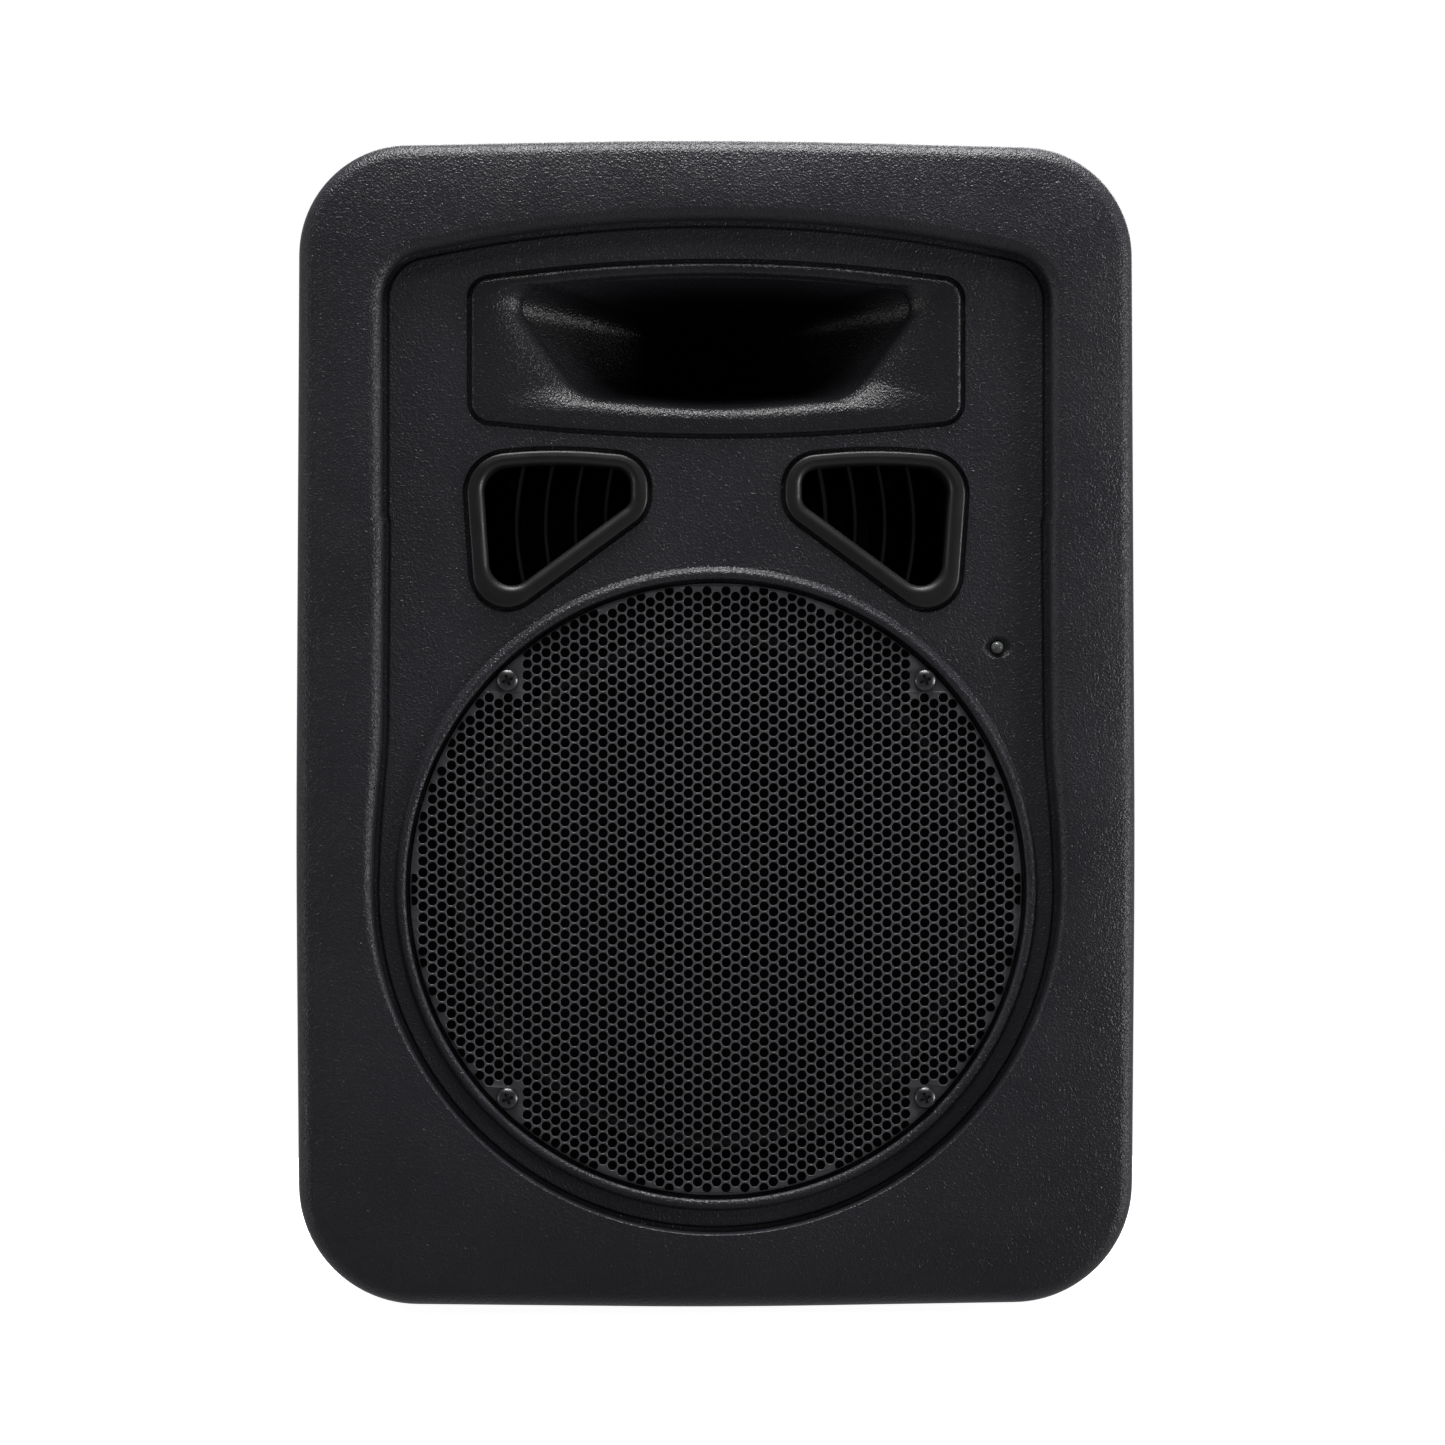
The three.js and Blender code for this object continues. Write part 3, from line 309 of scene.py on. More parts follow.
class Skin:
    """Collects loops of points, in millimetres, and the faces between them."""

    def __init__(self):
        self.points = []
        self.faces = []

    def loop(self, points):
        first = len(self.points)
        self.points.extend(points)
        return list(range(first, len(self.points)))

    def ring(self, outline, y):
        """A loop of (x, z) points at a depth, or at one depth for each point."""
        depth = np.broadcast_to(np.asarray(y, float), len(outline))
        return self.loop(zip(outline[:, 0], depth, outline[:, 1]))

    def level(self, outline, z):
        """A loop of (x, y) points at a height, or at one height for each point."""
        height = np.broadcast_to(np.asarray(z, float), len(outline))
        return self.loop(zip(outline[:, 0], outline[:, 1], height))

    def bridge(self, *loops):
        """Joins each loop to the next by a band of four-sided faces."""
        for a, b in zip(loops, loops[1:]):
            for i in range(len(a)):
                j = (i + 1) % len(a)
                self.faces.append((a[i], a[j], b[j], b[i]))

    def fill(self, outer, *holes, second=2):
        """Fills a flat loop with holes; second is the axis that x is drawn against."""
        loops = [outer, *holes]
        index = [i for loop in loops for i in loop]
        flat = [[Vector((self.points[i][0], self.points[i][second], 0)) for i in loop] for loop in loops]
        self.faces.extend(tuple(index[k] for k in face) for face in tessellate_polygon(flat))

    def rings(self, sections):
        """Skins (outline, y) sections in order and gives the loops back."""
        made = [self.ring(outline, y) for outline, y in sections]
        self.bridge(*made)
        return made

    def closed(self, sections):
        """Skins sections and joins the last to the first."""
        made = self.rings(sections)
        self.bridge(made[-1], made[0])

    def capped(self, sections):
        """Skins sections and fills both ends."""
        made = self.rings(sections)
        self.fill(made[0])
        self.fill(made[-1])

    def levels(self, sections):
        """Skins (outline, z) sections in order and fills both ends."""
        made = [self.level(outline, z) for outline, z in sections]
        self.bridge(*made)
        self.fill(made[0], second=1)
        self.fill(made[-1], second=1)

    def bar(self, loops):
        """Skins loops of points in order, with one face over each end."""
        made = [self.loop(points) for points in loops]
        self.bridge(*made)
        self.faces += [tuple(made[0]), tuple(made[-1])]

    def block(self, low, high):
        x0, y0, z0 = low
        x1, y1, z1 = high
        outline = np.array([(x0, z0), (x1, z0), (x1, z1), (x0, z1)], float)
        self.capped([(outline, y0), (outline, y1)])

    def mesh(self, name):
        mesh = bpy.data.meshes.new(name)
        mesh.from_pydata([Vector(point) * MM for point in self.points], [], self.faces)
        bm = bmesh.new()
        bm.from_mesh(mesh)
        bmesh.ops.recalc_face_normals(bm, faces=bm.faces)
        bm.to_mesh(mesh)
        bm.free()
        return mesh


def link(name, data):
    made = bpy.data.objects.new(name, data)
    bpy.context.scene.collection.objects.link(made)
    return made


def modify(piece, name, kind, **settings):
    modifier = piece.modifiers.new(name, kind)
    for setting, value in settings.items():
        setattr(modifier, setting, value)


def paint(piece, material_used):
    """Gives a piece one material on every face."""
    piece.data.materials.clear()
    piece.data.materials.append(material_used)
    piece.data.polygons.foreach_set("material_index", [0] * len(piece.data.polygons))


def keep_flats(piece):
    modify(piece, "flat faces keep their normals", "WEIGHTED_NORMAL", keep_sharp=True)


def place(name, made, material_used, node=None, body=ROOT, sharp=50):
    """Links a skin or a mesh as a smooth-shaded piece that rides on a body and replaces a CAD node."""
    mesh = made.mesh(name) if isinstance(made, Skin) else made
    piece = link(name, mesh)
    mesh.shade_smooth()
    mesh.set_sharp_from_angle(angle=math.radians(sharp))
    keep_flats(piece)
    if body:
        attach(piece, body)
    if node:
        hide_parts(node)
    paint(piece, material_used)
    return piece


def turned(skin, profile, centre=(0, 0, 0), count=96):
    """A ring or body turned about the Y axis; a profile end at radius 0 is closed by a fan."""
    cx, cy, cz = centre
    made = []
    for radius, y in profile:
        if radius > 0:
            made.append(skin.ring(circle(radius, np.array([cx, cz]), count), cy + y))
        else:
            made.append(skin.loop([(cx, cy + y, cz)]))
    for a, b in zip(made, made[1:]):
        if len(a) == len(b):
            skin.bridge(a, b)
        else:
            (tip,), ring = sorted((a, b), key=len)
            skin.faces.extend((tip, ring[i], ring[(i + 1) % count]) for i in range(count))
    return made


def upright(profile, centre, count=64):
    """A body turned about a vertical axis, from (radius, z) points."""
    skin = Skin()
    turned(skin, profile, count=count)
    skin.points = [(x + centre[0], z + centre[1], y) for x, y, z in skin.points]
    return skin


def rectangle(low, high, radius, arc=8):
    """A round-cornered rectangle between two opposite corners."""
    (x0, z0), (x1, z1) = low, high
    return rounded([(x0, z0, radius), (x1, z0, radius), (x1, z1, radius), (x0, z1, radius)], arc)


def shape(made):
    """A loose solid for a boolean, from a skin or a mesh."""
    return link("shape", made.mesh("shape") if isinstance(made, Skin) else made)


def skinned(*sections):
    """A loose solid through (outline, y) sections."""
    skin = Skin()
    skin.capped(sections)
    return shape(skin)


def combine(base, *steps):
    """The mesh of a shape after (operation, shape) booleans; all the shapes are used up."""
    for operation, other in steps:
        modify(base, "step", "BOOLEAN", operation=operation, object=other, solver="MANIFOLD")
    graph = bpy.context.evaluated_depsgraph_get()
    mesh = bpy.data.meshes.new_from_object(base.evaluated_get(graph))
    for used in {base, *(other for _, other in steps)}:
        bpy.data.objects.remove(used)
    return mesh


# ---- Materials ----


class Nodes:
    """Adds and joins nodes. In add, a capitalised name is a socket and another name is a setting."""

    def __init__(self, tree):
        self.tree = tree

    def join(self, socket, value):
        if isinstance(value, bpy.types.NodeSocket):
            self.tree.links.new(value, socket)
        else:
            socket.default_value = value

    def add(self, kind, **values):
        node = self.tree.nodes.new("ShaderNode" + kind)
        for name, value in values.items():
            if name[0].isupper():
                self.join(node.inputs[name.replace("_", " ")], value)
            else:
                setattr(node, name, value)
        return node

    def ramp(self, value, low, high, start=0.0, end=1.0):
        node = self.add("MapRange", Value=value, From_Min=start, From_Max=end, To_Min=low, To_Max=high)
        return node.outputs["Result"]

    def math(self, operation, a, b):
        node = self.add("Math", operation=operation)
        self.join(node.inputs[0], a)
        self.join(node.inputs[1], b)
        return node.outputs["Value"]


class Paint(Nodes):
    """A material: its shader, and patterns laid out in the piece's own space."""

    def __init__(self, name, color, roughness, metallic=0.0, specular=0.5):
        self.made = bpy.data.materials.new(name)
        self.made.use_nodes = True
        super().__init__(self.made.node_tree)
        self.finish(Base_Color=(*color, 1), Roughness=roughness, Metallic=metallic,
                    Specular_IOR_Level=specular)
        self.place = self.add("TexCoord").outputs["Object"]

    def noise(self, scale, detail=2.0):
        return self.add("TexNoise", Scale=scale, Detail=detail, Vector=self.place).outputs["Fac"]

    def waves(self, axis, scale, distortion):
        node = self.add("TexWave", bands_direction=axis, Scale=scale, Distortion=distortion,
                        Vector=self.place)
        return node.outputs["Fac"]

    def cells(self, scale, **settings):
        return self.add("TexVoronoi", Scale=scale, Vector=self.place, **settings).outputs["Distance"]

    def mix(self, factor, a, b):
        node = self.add("Mix", data_type="RGBA", Factor=factor)
        for socket, value in ((node.inputs[6], a), (node.inputs[7], b)):
            self.join(socket, value if isinstance(value, bpy.types.NodeSocket) else (*value, 1))
        return node.outputs[2]

    def drift(self, scale, detail, roughness, spread):
        """Roughness that wanders by a spread to each side."""
        return self.ramp(self.noise(scale, detail), roughness - spread, roughness + spread, 0.3, 0.7)

    def bump(self, height, strength, distance):
        return self.add("Bump", Strength=strength, Distance=distance, Height=height).outputs["Normal"]

    def finish(self, **inputs):
        shader = self.tree.nodes["Principled BSDF"]
        for name, value in inputs.items():
            self.join(shader.inputs[name.replace("_", " ")], value)
        return self.made


def shade(color, factor):
    return tuple(channel * factor for channel in color)


def grained_plastic(name, color, roughness, strength, flare=None):
    """Moulded plastic with a leather grain; between the two depths of a flare the colour darkens and the
    specular drops: painted shade for the dark inside of the horn.
    """
    n = Paint(name, color, roughness)
    folds = n.math("ABSOLUTE", n.math("SUBTRACT", n.noise(620.0, 2.5), 0.5), 0.0)
    pebbles = n.cells(1100.0, feature="SMOOTH_F1", Smoothness=0.3)
    height = n.math("ADD", n.math("MULTIPLY", folds, 2.4), n.math("MULTIPLY", pebbles, -0.55))
    cloud = n.ramp(n.noise(14.0, 4.0), 0, 1, 0.35, 0.65)
    base = n.mix(cloud, shade(color, 0.9), shade(color, 1.12))
    # Painted shade: deeper into the horn the colour fades to a quarter and the specular level falls,
    # standing in for the shade inside the flare.
    if flare:
        depth = n.add("SeparateXYZ", Vector=n.place).outputs["Y"]
        base = n.mix(n.ramp(depth, 0, 1, *flare), base, shade(color, 0.25))
        n.finish(Specular_IOR_Level=n.ramp(depth, 0.5, 0.2, *flare))
    return n.finish(Base_Color=base, Roughness=n.drift(40.0, 5.0, roughness, 0.05),
                    Normal=n.bump(height, strength, 0.0004))


def surface(name, color, roughness, metallic=0.0, specular=0.5,
            vary=0.12, blotch=40.0, grain=900.0, strength=0.15):
    """A material whose colour and gloss drift slowly under a fine relief."""
    n = Paint(name, color, roughness, metallic, specular)
    return n.finish(
        Base_Color=n.mix(n.noise(blotch, 4.0), shade(color, 1 - vary), shade(color, 1 + vary)),
        Roughness=n.drift(blotch * 2.3, 4.0, roughness, 0.06),
        Normal=n.bump(n.noise(grain, 3.0), strength, 0.00006),
    )


def woven(name, color):
    """Cloth of the spider: crossed threads under a stiff brown resin."""
    n = Paint(name, color, 0.8)
    threads = n.math("MAXIMUM", n.waves("X", 260.0, 0.6), n.waves("Z", 260.0, 0.6))
    return n.finish(Base_Color=n.mix(threads, shade(color, 0.6), shade(color, 1.15)),
                    Roughness=n.drift(90.0, 3.0, 0.8, 0.1), Normal=n.bump(threads, 0.5, 0.0002))


def wound(name, color):
    """Copper wire laid turn by turn, under lacquer."""
    n = Paint(name, color, 0.32, metallic=0.85)
    turns = n.waves("Y", 420.0, 0.3)
    return n.finish(Base_Color=n.mix(turns, shade(color, 0.55), color),
                    Roughness=n.drift(200.0, 3.0, 0.33, 0.07), Normal=n.bump(turns, 0.6, 0.0002))


def circuit():
    """Green solder mask with copper tracks showing through faintly."""
    n = Paint("circuit_board", (0.012, 0.06, 0.025), 0.35)
    tracks = n.ramp(n.cells(160.0), 0, 1, 0.18, 0.3)
    return n.finish(Base_Color=n.mix(tracks, (0.022, 0.10, 0.04), (0.010, 0.05, 0.02)),
                    Roughness=n.drift(90.0, 3.0, 0.35, 0.07), Normal=n.bump(tracks, 0.2, 0.0001))


CASE = grained_plastic("case_plastic", (0.0240, 0.0238, 0.0298), 0.36, 0.85)
GRAINED = grained_plastic("grained_plastic", (0.0120, 0.0119, 0.0142), 0.30, 0.7)
# The horn's plastic, with painted shade deep in its flare.
HORN = grained_plastic("horn_plastic", (0.0165, 0.0164, 0.0198), 0.30, 0.7,
                       flare=((FLOOR + 4) * MM, (FLOOR + 26) * MM))
SMOOTH = surface("smooth_plastic", (0.0120, 0.0119, 0.0132), 0.41, grain=1500, strength=0.3)
SOCKET = surface("socket_plastic", (0.010, 0.010, 0.0105), 0.34, grain=1300, strength=0.1)
KNOB = surface("knob_plastic", (0.013, 0.013, 0.0135), 0.5, grain=1300, strength=0.25)
COAT = surface("powder_coat", (0.085, 0.085, 0.093), 0.28, blotch=50)
STEEL = surface("dark_steel", (0.10, 0.10, 0.105), 0.32, metallic=0.9, vary=0.4, blotch=700, grain=2200)
LENS = surface("indicator_lens", (0.11, 0.115, 0.11), 0.13, vary=0.4, blotch=300, strength=0.02)
RUBBER = surface("rubber", (0.012, 0.012, 0.012), 0.75, vary=0.25, blotch=200, grain=1800, strength=0.2)
ZINC = surface("zinc_plate", (0.50, 0.49, 0.45), 0.36, metallic=1.0,
               blotch=120, grain=1500, strength=0.1)
# Black paint on the woofer's basket, pushed near black with little specular as painted shade behind the
# grille; on the driver's body and diaphragm it is painted shade only, for the dark throat of the horn.
BLACK_PAINT_AND_SHADE = surface("black_paint_and_painted_shade", (0.002, 0.002, 0.0022), 0.7, specular=0.12,
                 vary=0.2, grain=600, strength=0.3)
FERRITE = surface("ferrite", (0.028, 0.027, 0.027), 0.6, vary=0.25, blotch=150, grain=800, strength=0.25)
# Black paper, its colour and specular cut below real paper's: partly the cone's own black, partly painted
# shade behind the grille.
PULP = surface("paper_pulp", (0.004, 0.004, 0.0042), 0.85, specular=0.15,
               vary=0.3, blotch=260, grain=700, strength=0.6)
WRAPPED = surface("wrapped_winding", (0.30, 0.20, 0.03), 0.4,
                  vary=0.2, blotch=90, grain=500, strength=0.4)
PANEL = surface("panel_metal", (0.014, 0.014, 0.015), 0.42, blotch=60, grain=800, strength=0.3)
ANODISED = surface("heatsink_alloy", (0.022, 0.022, 0.024), 0.4, metallic=0.7, blotch=70, grain=1700)
INSULATION = surface("lead_insulation", (0.35, 0.02, 0.02), 0.45, blotch=120, grain=1200, strength=0.1)
TONGUE = surface("latch_steel", (0.42, 0.42, 0.42), 0.34, metallic=1.0,
                 blotch=200, grain=1400, strength=0.1)
INK = surface("panel_print", (0.62, 0.62, 0.60), 0.6, vary=0.06, blotch=300, grain=1500, strength=0.1)
CLOTH = woven("spider_cloth", (0.16, 0.10, 0.045))
COPPER = wound("copper_wire", (0.62, 0.24, 0.10))
CIRCUIT = circuit()

# ---- Camera, light and floor ----


def make_camera():
    """The photograph's view: level, from just left of the middle."""
    distance = 2.3
    picture_width = 0.601
    azimuth = math.radians(-1.75)
    target = Vector((0.00225, cad_low.y, 0.2469))
    camera = link("camera", bpy.data.cameras.new("camera"))
    away = Vector((math.sin(azimuth), -math.cos(azimuth), 0))
    camera.location = target + away * distance
    camera.rotation_euler = (-away).to_track_quat("-Z", "Y").to_euler()
    camera.data.sensor_width = 36
    camera.data.lens = 36 * distance / picture_width
    camera.data.clip_end = 50
    bpy.context.scene.camera = camera


def make_lights():
    middle = (0, 0, 0.25)
    for name, position, target, width, height, power in (
        ("top_softbox", (0.05, -0.27, 1.8), (0, -0.15, 0.3), 1.2, 0.4, 37),
        ("high_front_softbox", (0.3, -1.6, 3.2), (0, -0.2, 0.3), 1.8, 0.5, 27),
        ("key_softbox", (2.3, -0.9, 0.1), middle, 0.6, 0.9, 25),
        ("left_softbox", (-2.3, -0.7, 0.05), middle, 0.6, 0.9, 6),
        ("rear_softbox", (0.4, 2.4, 1.4), middle, 1.6, 1.6, 38),
    ):
        data = bpy.data.lights.new(name, "AREA")
        data.shape = "RECTANGLE"
        data.size = width
        data.size_y = height
        data.energy = power
        light = link(name, data)
        light.location = position
        toward = Vector(target) - Vector(position)
        light.rotation_euler = toward.to_track_quat("-Z", "Y").to_euler()


def make_world():
    """A white studio: bright to look at, dim as a source of light, darkest above the camera."""
    world = bpy.data.worlds.new("studio")
    world.use_nodes = True
    bpy.context.scene.world = world
    n = Nodes(world.node_tree)
    seen = n.tree.nodes["Background"]
    seen.inputs["Color"].default_value = (1, 1, 1, 1)
    facing_back = n.add("VectorMath", operation="DOT_PRODUCT", Vector=n.add("TexCoord").outputs["Generated"])
    facing_back.inputs[1].default_value = (0, 0.6, -0.45)
    strength = n.ramp(facing_back.outputs["Value"], 0.04, 0.44, -0.75, 0.5)
    lit = n.add("Background", Color=(0.97, 0.98, 1, 1), Strength=strength)
    choose = n.add("MixShader", Fac=n.add("LightPath").outputs["Is Camera Ray"])
    n.join(choose.inputs[1], lit.outputs["Background"])
    n.join(choose.inputs[2], seen.outputs["Background"])
    n.join(n.tree.nodes["World Output"].inputs["Surface"], choose.outputs["Shader"])


def make_floor():
    half = 0.7
    corners = [(-half, -half, 0), (half, -half, 0), (half, half, 0), (-half, half, 0)]
    mesh = bpy.data.meshes.new("floor")
    mesh.from_pydata(corners, [], [(0, 1, 2, 3)])
    floor = link("floor", mesh)
    pale = Paint("pale_floor", (0.85, 0.85, 0.85), 0.9, specular=0.0)
    mesh.materials.append(pale.finish(Emission_Color=(1, 1, 1, 1), Emission_Strength=0.95))
    floor.visible_diffuse = False
    floor.visible_glossy = False


make_camera()
make_lights()
make_world()
make_floor()
bpy.context.scene.view_settings.view_transform = "Standard"

# ---- Front shell ----


def hole_wall(skin, outline, ledge):
    """A sharp-edged pocket in the baffle with a ledge and a way through: front and back loops."""
    inner = expand(outline, -ledge)
    made = skin.rings([*grown(outline, FLOOR, (0.55, 0), (0.2, 0.1), (0.04, 0.35), (0, 0.8)),
                       (outline, INSERT_SEAT), (inner, INSERT_SEAT), (inner, BAFFLE_BACK)])
    return made[0], made[-1]


def woofer_lip(skin):
    """The raised round lip about the grille and the seat inside it."""
    centre = np.array([0, WOOFER_Z])
    bore = 114.5
    outside = ((1.3, 0), (0.6, -0.12), (0.15, -0.55), (-0.15, -1.2), (-0.6, -1.85), (-1.3, -2.3),
               (-2.1, -2.5))
    inside = ((1.4, -2.42), (0.7, -2.15), (0.2, -1.6), (0, -0.9), (0, SEAT - FLOOR))
    profile = [(LIP_OUTER + grow, y) for grow, y in outside] + [(LIP_INNER + grow, y) for grow, y in inside]
    profile += [(bore, SEAT - FLOOR), (bore, BAFFLE_BACK - FLOOR)]
    made = skin.rings([(circle(radius, centre, 360), FLOOR + y) for radius, y in profile])
    return made[0], made[-1]


def led_dimple(skin):
    """A shallow oval bowl with the indicator's hole at its bottom."""
    centre = np.array([LED_X, LED_Z])
    round_hole = circle(1, np.zeros(2), 64)
    bowl = [(6.6, 5.0, 0), (6.1, 4.6, 0.12), (5.5, 4.2, 0.5), (4.7, 3.9, 1.0), (3.9, 3.5, 1.35),
            (3.1, 3.1, 1.5), (3.1, 3.1, BAFFLE_BACK - FLOOR)]
    made = skin.rings([(centre + round_hole * [a, b], FLOOR + y) for a, b, y in bowl])
    return made[0], made[-1]


def front_shell():
    """Case side, outer edge, crowned face, the recess with a groove at its foot, and its holes."""
    skin = Skin()
    floor = by_angle(recess_outline())
    inside = expand(OUTER, -WALL)
    back = PARTING - PART_LINE
    side = 104
    edge_round = 7.5
    face_drop = 2.2
    sections = [(inside, BAFFLE_BACK), (inside, back)]
    sections += grown(OUTER, back, (-0.5, 0), (-0.12, -0.12), (0, -0.5))
    sections += [(OUTER, back - t * side) for t in (0.2, 0.4, 0.6, 0.8)]
    sections += [(expand(OUTER, -edge_round * c), FRONT + face_drop + edge_round * (1 - s))
                 for c, s in arc_steps(11, 0, 81)]
    face_edge, face_start = sections[-1]
    low = 1 - smoothstep(70, 230, floor[:, 1])
    rounding = RECESS_ROUND - (RECESS_ROUND - 0.7) * low
    rim = expand(floor, rounding)
    for t in np.arange(1, 8) / 8:
        sections.append((face_edge * (1 - t) + rim * t, FRONT + (face_start - FRONT) * (1 - t) ** 2))
    sections += [(expand(floor, rounding * (1 - s)), FRONT + rounding * c) for c, s in arc_steps(10, 0, 88)]
    groove = 1.5 + 0.4 * low
    sections += grown(floor, FLOOR, (-0.15, groove - 0.3), (-0.5, groove), (-2, groove), (-2.9, 0.2),
                      (-3.5, 0))
    made = skin.rings(sections)
    holes = [woofer_lip(skin), led_dimple(skin),
             hole_wall(skin, expand(HORN_FLANGE, GROOVE), GROOVE + 1.2)]
    holes += [hole_wall(skin, expand(port_flange(s), GROOVE), GROOVE + 3) for s in (-1, 1)]
    skin.fill(made[-1], *[front_loop for front_loop, _ in holes])
    skin.fill(made[0], *[back_loop for _, back_loop in holes])
    place("front_shell_moulding", skin, CASE, "front_shell", sharp=38)


front_shell()

# ---- Horn ----


def facing(outline):
    """How far each point's outward normal looks up (1) or down (-1)."""
    a = unit(outline - np.roll(outline, 1, axis=0))
    b = unit(np.roll(outline, -1, axis=0) - outline)
    return -unit(a + b)[:, 0]


def blurred(values, outline, reach):
    """Values given along a closed outline, averaged over a reach in millimetres."""
    step = np.hypot(*(np.roll(outline, -1, axis=0) - outline).T)
    along = np.cumsum(step)
    gap = np.abs(along[:, None] - along[None, :])
    weight = np.exp(-(np.minimum(gap, along[-1] - gap) / reach) ** 2) * step
    return weight @ values / weight.sum(axis=1)


def horn_section(remaining):
    """The flare's section where this share of its depth is still to come."""
    narrowing = 1 - remaining ** 1.45
    return HORN_MOUTH * (1 - narrowing) + HORN_THROAT * narrowing


def horn():
    """Flange, cheeks that curve inward, a bold lower lip, the flare, the throat and the driver's plate."""
    skin = Skin()
    crown = 1.3
    edge_round = 1.5
    edge_start = FLOOR + 0.3
    up = facing(HORN_MOUTH)
    cheek = 1 - smoothstep(0.55, 1.0, np.abs(up))
    level = blurred(cheek * 0.06 + (1 - cheek) * np.where(up > 0, 0.35, 0.42), HORN_MOUTH, 8)[:, None]
    sink = blurred(cheek * 12 + (1 - cheek) * np.where(up > 0, 3.0, 6.0), HORN_MOUTH, 8)
    face = FLOOR - crown
    sections = [*grown(HORN_FLANGE, INSERT_BACK, (-6, 0), (0, 0)), (HORN_FLANGE, edge_start)]
    sections += [(expand(HORN_FLANGE, -edge_round * c), edge_start - (edge_start - face) * s)
                 for c, s in arc_steps(6)]
    edge = sections[-1][0]
    sections += [(edge + (HORN_MOUTH - edge) * level * t, face) for t in (0.5, 1.0)]
    for c, s in arc_steps(15)[1:]:
        sections.append((edge + (HORN_MOUTH - edge) * (level + (1 - level) * s), face + sink * c))
    start = face + sink
    end = HORN_BACK - 12
    sections += [(horn_section(1 - t), start * (1 - t) + end * t) for t in np.linspace(0, 1, 21)[1:]]
    sections += [(HORN_THROAT * 0.4 + DRIVER_HOLE * 0.6, HORN_BACK - 7), (DRIVER_HOLE, HORN_BACK)]
    plate = unit(DRIVER_HOLE - [0, HORN_Z]) * 36 + [0, HORN_Z]
    sections += [(plate, HORN_BACK), (plate, HORN_BACK - 5), (expand(DRIVER_HOLE, 6), HORN_BACK - 5)]
    sections += [(expand(horn_section(1 - t), 2.2), (FLOOR + 9) * (1 - t) + end * t)
                 for t in (1.0, 0.7, 0.4, 0.1)]
    skin.closed(sections)
    place("horn_moulding", skin, HORN, "horn", sharp=60)


horn()

# ---- Ports ----


def port(side, name, node):
    """A duct whose flange has a thin outer edge, a broad ring and a deep inner rounding."""
    skin = Skin()
    opening = port_opening(side)
    rim = port_flange(side)
    edge_round = 1.3
    inner_round = 3.4
    sections = [*grown(rim, INSERT_BACK, (-3, 0), (0, 0)), (rim, FLOOR - 0.4)]
    sections += [(expand(rim, -edge_round * c), FLOOR - 0.4 - edge_round * s)
                 for c, s in arc_steps(6, 12, 80)]
    sections += grown(rim, FLOOR, (-2, -1.95), (-2.8, -2.1))
    sections += [(expand(opening, inner_round * (1 - s)), FLOOR - 2.2 + inner_round * c)
                 for c, s in arc_steps(11)]
    sections += [(opening, FLOOR + depth) for depth in (12, 40, PORT_LENGTH)]
    sections += [(expand(opening, 2.6), FLOOR + depth) for depth in (PORT_LENGTH, 6)]
    skin.closed(sections)
    for x in VANES:
        vane(skin, opening, side, side * abs(x))
    place(name, skin, SMOOTH, node, sharp=60)


def vane(skin, opening, side, x):
    """A thin plate across the duct that bows outward, with a rounded front edge."""
    half = 1.2
    reach = opening[np.abs(opening[:, 0] - x) < 3][:, 1]
    front = FLOOR + VANE_SETBACK
    back = FLOOR + PORT_LENGTH - 1
    section = ((-1, back), (-1, front + half), (-0.5, front), (0.5, front), (1, front + half), (1, back))
    loops = []
    for z in np.linspace(reach.min() - 1.5, reach.max() + 0.5, 17):
        middle = x - side * (z - VANE_WAIST) ** 2 / (2 * VANE_BOW)
        loops.append([(middle + half * across, y, z) for across, y in section])
    skin.bar(loops)


port(-1, "port_moulding_left", "port_duct_left")
port(1, "port_moulding_right", "port_duct_right")

# ---- Grille ----

COLUMN = 3.95
ROW = 4.7
HOLE = 1.98
CELL_REACH = 2.7
SHEET_EDGE = GRILLE_RADIUS - 1.4
PATTERN_EDGE = SHEET_EDGE - 0.45
SPOT = 7.2
SCREW_CIRCLE = 123.3
SCREW_SPOTS = [(SCREW_CIRCLE * math.cos(angle), SCREW_CIRCLE * math.sin(angle))
               for angle in (math.pi / 4 + k * math.pi / 2 for k in range(4))]
HEX = np.array([(2 / 3 * COLUMN, 0), (COLUMN / 2, ROW / 4), (COLUMN / 3, ROW / 2), (0, ROW / 2)])
HEX = np.concatenate([HEX, HEX[2:0:-1] * [-1, 1], HEX[:1] * [-1, 1], HEX[1:3] * [-1, -1],
                      HEX[3:4] * [1, -1], HEX[2:0:-1] * [1, -1]])


def grille_face(x, z):
    """The grille's front face: a low dome, turned back at its rim and dimpled under each screw."""
    radius = np.hypot(x, z)
    y = GRILLE_FRONT - GRILLE_DOME * (1 - np.clip(radius / 118, 0, 1) ** 2)
    y = y + 1.1 * np.clip((radius - PATTERN_EDGE + 1.2) / 1.8, 0, 1) ** 2
    for sx, sz in SCREW_SPOTS:
        near = np.clip(1 - np.hypot(x - sx, z - sz) / 8, 0, 1)
        y = y + 1.0 * near ** 0.6
    return y


